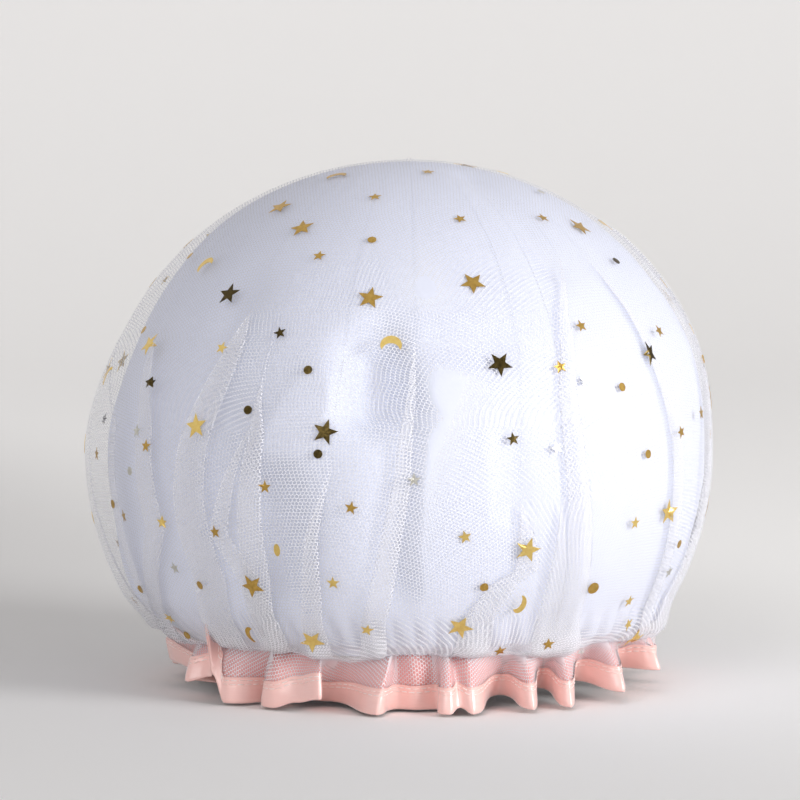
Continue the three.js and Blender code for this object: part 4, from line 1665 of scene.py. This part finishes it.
@dataclass
class Foils:
    """The foil motifs on the net: the photographed ones in front, and seeded ones elsewhere."""

    camera: PhotoCamera
    dome: Dome
    surface: BVHTree
    materials: dict[FoilTone, bpy.types.Material]
    thickness: float = 0.12
    seat: float = 0.1
    star_corners: int = 10
    star_waist_share: float = 0.42
    dot_corners: int = 16
    inner_rim_share: float = 0.5
    crescent_points: int = 13
    crescent_swing: float = 1.75
    crescent_width_share: float = 0.72
    crescent_power: float = 0.8
    crescent_tip: float = 0.04
    crescent_reach_share: float = 0.82
    cast_reach: float = 5.0
    most_depth: float = 1.2
    level_share: float = 0.95
    hidden_count: int = 96
    hidden_turns: Span = (82, 278)
    hidden_rises: Span = (-0.75, 0.98)
    hidden_cast: float = 300.0
    hidden_gap: float = 18.0

    def outline(self, motif: Motif) -> tuple[np.ndarray, Faces]:
        """Draws a motif flat, as rings of points round its middle.

        Args:
            motif: which one.

        Returns:
            Its points in the plane, and its faces.
        """
        kind, reach = motif.value
        half = reach / 2
        if kind == "crescent":
            horns = np.linspace(-1.0, 1.0, self.crescent_points)
            swing = horns * self.crescent_swing
            belly = np.cos(horns * math.pi / 2) ** self.crescent_power
            thick = half * self.crescent_width_share * belly + self.crescent_tip
            normal = np.column_stack([np.cos(swing), np.sin(swing)])
            middle = normal * half * self.crescent_reach_share
            outer = middle + normal * thick[:, None] / 2
            inner = middle - normal * thick[:, None] / 2
            points = np.concatenate([outer, middle, inner])
            count = len(horns)
            faces = []
            for row in range(2):
                for step in range(count - 1):
                    start = row * count + step
                    faces.append((start + count, start + count + 1, start + 1, start))
            return points, faces
        if kind == "star":
            corners = self.star_corners
            radii = np.where(np.arange(corners) % 2 == 0, half, half * self.star_waist_share)
        else:
            corners = self.dot_corners
            radii = np.full(corners, half)
        angles = np.arange(corners) * FULL_TURN / corners + math.pi / 2
        rim = np.column_stack([np.cos(angles), np.sin(angles)]) * radii[:, None]
        points = np.concatenate([np.zeros((1, 2)), rim * self.inner_rim_share, rim])
        faces = []
        for corner in range(corners):
            after = (corner + 1) % corners
            faces.append((0, 1 + corner, 1 + after))
            faces.append((1 + corner, 1 + corners + corner, 1 + corners + after, 1 + after))
        return points, faces

    def plate(
        self, motif: Motif, spin: float, place: Vector, normal: Vector, width_share: float = 1.0
    ) -> tuple[np.ndarray, Faces]:
        """Lays a thin plate of a motif on the net.

        Args:
            motif: which one.
            spin: its turn in its own plane, in degrees.
            place: where its middle is, in metres.
            normal: the way off the net there.
            width_share: how much of its width is left where the cloth under it is folded.

        Returns:
            Its points, in millimetres, and its faces.
        """
        flat, faces = self.outline(motif)
        upward = Vector((0, 0, 1)) if abs(normal.z) < self.level_share else Vector((0, 1, 0))
        across = upward.cross(normal).normalized()
        up = normal.cross(across).normalized()
        angle = math.radians(spin)
        turn = np.array([[math.cos(angle), -math.sin(angle)], [math.sin(angle), math.cos(angle)]])
        lower, upper = [], []
        for x, y in flat @ turn.T * (width_share, 1.0):
            ideal = place + (across * float(x) + up * float(y)) * MM
            above = ideal + normal * self.cast_reach * MM
            hit, _, _, _ = self.surface.ray_cast(above, -normal, 2 * self.cast_reach * MM)
            found = ideal if hit is None else hit
            depth = (found - ideal).dot(normal)
            depth = max(-self.most_depth * MM, min(self.most_depth * MM, depth))
            base = (ideal + normal * depth) / MM
            lower.append(np.array(base) + np.array(normal) * self.seat)
            upper.append(np.array(base) + np.array(normal) * (self.seat + self.thickness))
        points = np.array(upper + lower)
        count = len(flat)
        solid = faces + [tuple(count + corner for corner in reversed(face)) for face in faces]
        edges = [edge for face in faces for edge in zip(face, face[1:] + face[:1])]
        for start, end in edges:
            if (end, start) not in edges:
                solid.append((end, start, count + start, count + end))
        return points, solid

    def seen(self, foil: Foil) -> tuple[Vector, Vector] | None:
        """Finds where a foil lies on the net.

        Args:
            foil: the foil.

        Returns:
            Its place in metres and the net's normal there, or None where the sight misses.
        """
        start, direction = self.camera.sight(foil.pixel)
        hit, _, _, _ = self.surface.ray_cast(Vector(start) * MM, Vector(direction))
        if hit is None:
            return None
        return hit, self.outward(hit)

    def outward(self, place: Vector) -> Vector:
        """Works out the smooth dome's outward direction.

        Args:
            place: the place on it, in metres.

        Returns:
            The direction there.
        """
        height = place.z / MM
        drop = self.dome.upper_rise if height > self.dome.middle_height else self.dome.lower_drop
        lean = float(self.dome.lean(np.array(height))) * MM
        flat = Vector((place.x - lean, place.y, 0)) / (self.dome.radius * MM) ** 2
        rise = (height - self.dome.middle_height) * MM / (drop * MM) ** 2
        return (flat + Vector((0, 0, rise))).normalized()

    def named(self) -> dict[str, tuple[Motif, list[Foil]]]:
        """Lists the photographed foils that are CAD nodes.

        Returns:
            For each node's base name, its motif and its foils in their nodes' order.
        """
        # The dark and bright tones paint in the reflection that each foil shows.
        warm, painted_dark, painted_bright = FoilTone.WARM, FoilTone.DARK, FoilTone.BRIGHT_PAINTED_REFLECTION
        return {
            "large_star": (
                Motif.LARGE_STAR,
                [
                    Foil((302, 228), 20), Foil((280, 207), 10), Foil((229, 294), 5, painted_dark),
                    Foil((370, 298), -8), Foil((149, 344), -20, painted_bright), Foil((325, 432), -15, painted_dark),
                    Foil((196, 426), 10, painted_bright), Foil((473, 283), 30), Foil((580, 227), 15),
                    Foil((500, 364), 36, painted_dark), Foil((252, 586), 25), Foil((528, 550), -12, painted_bright),
                    Foil((668, 512), 3, painted_bright), Foil((460, 627), -20, painted_bright), Foil((312, 641), 30, painted_bright),
                    Foil((650, 353), 20, painted_dark, 0.6),
                ],
            ),
            "crescent": (
                Motif.CRESCENT,
                [
                    Foil((391, 348), 90, painted_bright), Foil((205, 267), 130, painted_bright), Foil((336, 177), 120),
                    Foil((107, 376), 170, painted_bright, 0.5), Foil((253, 635), 165, warm, 0.5),
                    Foil((518, 603), -30, painted_bright, 0.7),
                ],
            ),
            "small_star": (
                Motif.SMALL_STAR,
                [
                    Foil((319, 256), 0), Foil((375, 197), 10), Foil((280, 333), 20, painted_dark),
                    Foil((222, 348), -10, painted_bright), Foil((152, 383), 12, painted_dark), Foil((146, 446), 0),
                    Foil((460, 219), 15), Foil((543, 218), -8), Foil((560, 367), 10),
                    Foil((513, 439), 8, painted_dark), Foil((681, 432), 20), Foil((659, 331), 15),
                    Foil((351, 508), -12), Foil((333, 583), 0, painted_bright), Foil((215, 532), 8),
                    Foil((163, 522), -6, painted_bright), Foil((465, 537), 14, painted_bright), Foil((635, 523), 0, painted_bright),
                    Foil((629, 601), 10, painted_bright), Foil((367, 630), -15, painted_bright),
                ],
            ),
            "large_dot": (Motif.LARGE_DOT, [Foil((593, 588)), Foil((277, 550), 0, painted_bright, 0.55)]),
            "small_dot": (
                Motif.SMALL_DOT,
                [
                    Foil((248, 410), 0, painted_dark), Foil((308, 370), 0, painted_dark), Foil((318, 454), 0, painted_dark),
                    Foil((372, 240)), Foil((648, 454)), Foil((616, 261), 0, painted_dark),
                ],
            ),
        }

    def extra(self) -> dict[Motif, list[Foil]]:
        """Lists the photographed foils that are too small or too near the edge to be CAD nodes.

        Returns:
            The foils of each motif.
        """
        # The bright and pale tones paint in the reflection that each foil shows.
        painted_bright, pale = FoilTone.BRIGHT_PAINTED_REFLECTION, FoilTone.PALE_PAINTED_REFLECTION
        return {
            Motif.SMALL_STAR: [
                Foil((137, 431), 5, pale), Foil((97, 454), 0), Foil((124, 516), 12), Foil((265, 487), 0),
                Foil((170, 618), 18, painted_bright), Foil((428, 172), 0), Foil((581, 326), 10),
                Foil((585, 380), 0, pale),
                Foil((557, 448), 20, pale), Foil((701, 413), 0), Foil((628, 624), 30, painted_bright),
                Foil((548, 644), 8), Foil((500, 651), 12), Foil((414, 480), 0, pale),
                Foil((669, 572), 15, pale), Foil((175, 568), 12, pale), Foil((158, 269), 0, pale),
            ],
            Motif.LARGE_STAR: [Foil((634, 639), 12, painted_bright)],
            Motif.SMALL_DOT: [
                Foil((541, 192), 0, pale), Foil((679, 544)), Foil((484, 587)), Foil((200, 585)),
                Foil((130, 471), 0, pale), Foil((190, 256)), Foil((256, 196)), Foil((144, 330)),
                Foil((113, 504)), Foil((141, 589)), Foil((187, 635)), Foil((622, 387)), Foil((703, 359)),
            ],
        }

    def join(self, base: str, loose: Plates) -> None:
        """Joins loose plates into a piece for each tone that has any.

        Args:
            base: the pieces' base name.
            loose: each tone's plates, as points and faces.
        """
        for tone, plates in loose.items():
            if not plates:
                continue
            faces = []
            first = 0
            for plate_points, plate_faces in plates:
                faces += [tuple(first + corner for corner in face) for face in plate_faces]
                first += len(plate_points)
            points = np.concatenate([plate[0] for plate in plates])
            name = f"{base}_{tone.name.lower()}"
            piece = make_piece(name, points, faces, self.materials[tone], [])
            piece.data.shade_flat()

    def build(self) -> None:
        """Builds every foil."""
        for base, (motif, foils) in self.named().items():
            for number, foil in enumerate(foils, start=1):
                node = f"{base}_{number:02d}"
                found = self.seen(foil)
                if found is None:
                    LOG.warning("%s misses the net", node)
                    continue
                points, faces = self.plate(motif, foil.spin, *found, foil.width_share)
                piece = make_piece(f"{node}_foil", points, faces, self.materials[foil.tone], [node])
                piece.data.shade_flat()
        loose: Plates = {tone: [] for tone in FoilTone}
        for motif, foils in self.extra().items():
            for foil in foils:
                found = self.seen(foil)
                if found is not None:
                    loose[foil.tone].append(self.plate(motif, foil.spin, *found, foil.width_share))
        self.join("front_foils", loose)
        self.scatter()

    def scatter(self) -> None:
        """Scatters foils over the sides and back, evenly but by no pattern."""
        random = np.random.default_rng(SEED + 3)
        kinds = [Motif.SMALL_STAR] * 4 + [Motif.LARGE_STAR] * 3 + [Motif.SMALL_DOT] * 2
        kinds += [Motif.CRESCENT, Motif.LARGE_DOT]
        # Drawn at random, the bright and dark tones paint a reflection onto some of the foils.
        tones = [FoilTone.WARM, FoilTone.WARM, FoilTone.BRIGHT_PAINTED_REFLECTION, FoilTone.BRIGHT_PAINTED_REFLECTION, FoilTone.DARK]
        loose: Plates = {tone: [] for tone in FoilTone}
        placed: list[Vector] = []
        centre = Vector((0, 0, self.dome.middle_height * MM))
        while len(placed) < self.hidden_count:
            turn = random.uniform(*np.radians(self.hidden_turns))
            rise = draw(random, self.hidden_rises)
            level = math.sqrt(1 - rise * rise)
            way = Vector((level * math.sin(turn), -level * math.cos(turn), rise))
            hit, _, _, _ = self.surface.ray_cast(centre + way * (self.hidden_cast * MM), -way)
            if hit is None or (hit - centre).dot(way) < 0:
                continue
            if any((hit - other).length < self.hidden_gap * MM for other in placed):
                continue
            placed.append(hit)
            motif = kinds[int(random.integers(len(kinds)))]
            tone = tones[int(random.integers(len(tones)))]
            spin = draw(random, (0, 360))
            loose[tone].append(self.plate(motif, spin, hit, self.outward(hit)))
        self.join("back_foils", loose)


def seen_directly(tree: bpy.types.NodeTree) -> bpy.types.NodeSocket:
    """Tells the rays that show a surface from those by which it only lights others.

    Args:
        tree: the node tree that asks.

    Returns:
        A socket that is 1 for camera, glossy and transmission rays, and 0 for the rest.
    """
    path = add_node(tree, "LightPath", {})
    seen = path.outputs["Is Camera Ray"]
    for kind in ("Is Glossy Ray", "Is Transmission Ray"):
        seen = add_node(tree, "Math", {"operation": "MAXIMUM"}, i0=seen, i1=path.outputs[kind]).outputs[0]
    return seen


@dataclass(frozen=True)
class Softbox:
    """A square softbox that faces the cap, with its place and side in metres and its power in watts."""

    name: str
    place: tuple[float, float, float]
    side: float
    power: float
    aim: tuple[float, float, float] = (0.0, 0.0, 0.1)

    def build(self) -> None:
        """Hangs the softbox."""
        data = bpy.data.lights.new(self.name, "AREA")
        data.energy = self.power
        data.size = self.side
        lamp = bpy.data.objects.new(self.name, data)
        lamp.location = self.place
        way = Vector(self.aim) - Vector(self.place)
        lamp.rotation_euler = way.to_track_quat("-Z", "Y").to_euler()
        bpy.context.scene.collection.objects.link(lamp)


@dataclass
class Studio:
    """A pale seamless floor and backdrop, a soft key light from the right and an even room."""

    floor_colour: str = "F2F1F0"
    floor_glow: str = "C8C7C6"
    floor_glow_strength: float = 0.03
    backdrop_glow_strength: float = 0.42
    # How fast the glow grows towards the right: painted light from the key's side.
    painted_light_slant: float = 0.1
    glow_depth: float = 0.05
    glow_heights: Span = (-0.01, 0.045)
    backdrop_colour: str = "E4E4E5"
    softboxes: tuple[Softbox, ...] = (
        Softbox("key_softbox", (1.85, -1.25, 0.7), 0.9, 37.0),
        Softbox("fill_softbox", (-0.9, -1.9, 1.1), 1.2, 9.5),
    )
    horizon_strength: float = 0.77
    zenith_strength: float = 0.29
    zenith_rise: float = 0.9
    room_colour: str = "F4F1F1"
    floor_rows: tuple[float, ...] = (-3.2, -1.0, 0.0)
    floor_depth: float = 3.2
    backdrop_height: float = 3.5
    half_width: float = 4.0
    bend_radius: float = 1.0
    bend_steps: int = 12

    def backdrop_material(self) -> bpy.types.Material:
        """Builds the seamless paper, painted matt and pale, which glows where it is seen, with painted light
        that brightens it towards the right.

        Returns:
            The material.
        """
        material, tree, output = new_material("seamless_paper")
        paper = add_node(tree, "BsdfPrincipled", {}, Base_Color=linear(self.floor_colour), Roughness=0.75)
        place = add_node(tree, "TexCoord", {}).outputs["Object"]
        # The glow rises with height and a little with depth, and grows towards the right: painted light from
        # the key's side.
        slant = (self.painted_light_slant, self.glow_depth, 1)
        height = add_node(
            tree, "VectorMath", {"operation": "DOT_PRODUCT"}, i0=place, i1=slant
        ).outputs["Value"]
        strength = add_node(
            tree,
            "MapRange",
            {"interpolation_type": "SMOOTHSTEP"},
            Value=height,
            From_Min=self.glow_heights[0],
            From_Max=self.glow_heights[1],
            To_Min=self.floor_glow_strength,
            To_Max=self.backdrop_glow_strength,
        ).outputs[0]
        glow = add_node(tree, "Emission", {}, Color=linear(self.floor_glow), Strength=strength)
        none = add_node(tree, "Emission", {}, Strength=0.0)
        shown = add_node(
            tree, "MixShader", {}, i0=seen_directly(tree), i1=none.outputs[0], i2=glow.outputs[0]
        )
        mixed = add_node(tree, "AddShader", {}, i0=paper.outputs[0], i1=shown.outputs[0])
        tree.links.new(mixed.outputs[0], output.inputs["Surface"])
        return material

    def build(self) -> None:
        """Builds the floor, the lamps and the room's light."""
        scene = bpy.context.scene
        scene.view_settings.view_transform = "Standard"
        profile = [(y, 0.0) for y in self.floor_rows]
        middle = self.floor_depth - self.bend_radius
        for step in range(self.bend_steps + 1):
            angle = math.pi / 2 * step / self.bend_steps
            height = self.bend_radius - self.bend_radius * math.cos(angle)
            profile.append((middle + self.bend_radius * math.sin(angle), height))
        profile.append((self.floor_depth, self.backdrop_height))
        points = [(side * self.half_width, y, z) for y, z in profile for side in (-1, 1)]
        faces = [(2 * i, 2 * i + 1, 2 * i + 3, 2 * i + 2) for i in range(len(profile) - 1)]
        mesh = bpy.data.meshes.new("floor")
        mesh.from_pydata(points, [], faces)
        mesh.shade_smooth()
        mesh.materials.append(self.backdrop_material())
        floor = bpy.data.objects.new("floor", mesh)
        scene.collection.objects.link(floor)
        for softbox in self.softboxes:
            softbox.build()
        world = bpy.data.worlds.new("room")
        scene.world = world
        world.use_nodes = True
        tree = world.node_tree
        tree.nodes.clear()
        way = add_node(tree, "TexCoord", {}).outputs["Generated"]
        rise = add_node(tree, "SeparateXYZ", {}, i0=way).outputs["Z"]
        strength = add_node(
            tree,
            "MapRange",
            {"interpolation_type": "SMOOTHSTEP"},
            Value=rise,
            From_Min=0.0,
            From_Max=self.zenith_rise,
            To_Min=self.horizon_strength,
            To_Max=self.zenith_strength,
        ).outputs[0]
        room = add_node(tree, "Background", {}, Color=linear(self.room_colour), Strength=strength)
        shown = add_node(tree, "Background", {}, Color=linear(self.backdrop_colour), Strength=1.0)
        mixed = add_node(
            tree, "MixShader", {}, i0=seen_directly(tree), i1=room.outputs[0], i2=shown.outputs[0]
        )
        output = add_node(tree, "OutputWorld", {})
        tree.links.new(mixed.outputs[0], output.inputs["Surface"])


@dataclass
class OuterNet:
    """The tulle from the crown to the hem, as one round of cloth."""

    dome: Dome
    camera: PhotoCamera

    def build(self, layers: RuffleLayers, material: bpy.types.Material) -> bpy.types.Object:
        """Builds the net's piece from its dome and its share of the ruffle.

        Args:
            layers: the ruffle's cloths.
            material: the tulle.

        Returns:
            The net's object.
        """
        points, flat, closed, faces = NetDome(self.dome, self.camera, layers.ruffle).build()
        skirt, skirt_flat, skirt_closed, skirt_faces = layers.net()
        first = len(points)
        faces = faces + [tuple(first + corner for corner in face) for face in skirt_faces]
        points = np.concatenate([points, skirt.reshape(-1, 3)])
        flat = np.concatenate([flat, skirt_flat.reshape(-1, 2)])
        closed = np.concatenate([closed, skirt_closed.ravel()])
        piece = make_piece("outer_net_tulle", points, faces, material, ["outer_net"], flat, closed)
        return piece


def build_cap() -> None:
    """Builds the cap's pieces in the order in which they carry each other."""
    camera = PhotoCamera()
    camera.build()
    dome = Dome()
    satin = PolyesterSatin("ribbon_satin", "FFD2CA", "FBC5BD", 0.24, sheen=0.9).material()
    facing = PolyesterSatin("facing_satin", "F0ACA6", "E49C97", 0.34).material()
    pink_thread = SpunThread("pink_thread", "FFEFEB", "FADAD3").material()
    white_thread = SpunThread("white_thread", "F4F1EC", "CFCBC4").material()
    elastic = Elastic(dome)
    elastic_radius = elastic.build(KnittedElastic().material(), white_thread)
    ruffle = Ruffle(dome)
    grid, normals, marks = ruffle.build()
    layers = RuffleLayers(ruffle, grid, normals, marks)
    low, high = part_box("elastic_band")
    casing = (low[2] / MM - elastic.casing_below, high[2] / MM + elastic.casing_above)
    band_radius = elastic_radius - elastic.casing_depth
    layers.facing(facing, band_radius, casing)
    outer = layers.binding(satin)
    stitching = Stitching()
    stitching.ribbon_rows(layers, outer, pink_thread)
    stitching.casing_rows(dome, band_radius, pink_thread)
    Lining(dome, camera, elastic_radius + elastic.lining_gap).build(CoatedCloth().material())
    net = OuterNet(dome, camera).build(layers, NylonTulle().material())
    bpy.context.view_layer.update()
    surface = BVHTree.FromObject(net, bpy.context.evaluated_depsgraph_get())
    materials = {tone: GoldFoil(tone).material() for tone in FoilTone}
    Foils(camera, dome, surface, materials).build()


def main() -> None:
    """Builds the studio and the cap."""
    logging.basicConfig(level=logging.INFO, format="%(name)s: %(message)s")
    Studio().build()
    build_cap()
    bpy.context.view_layer.update()


if __name__ == "__main__":
    main()
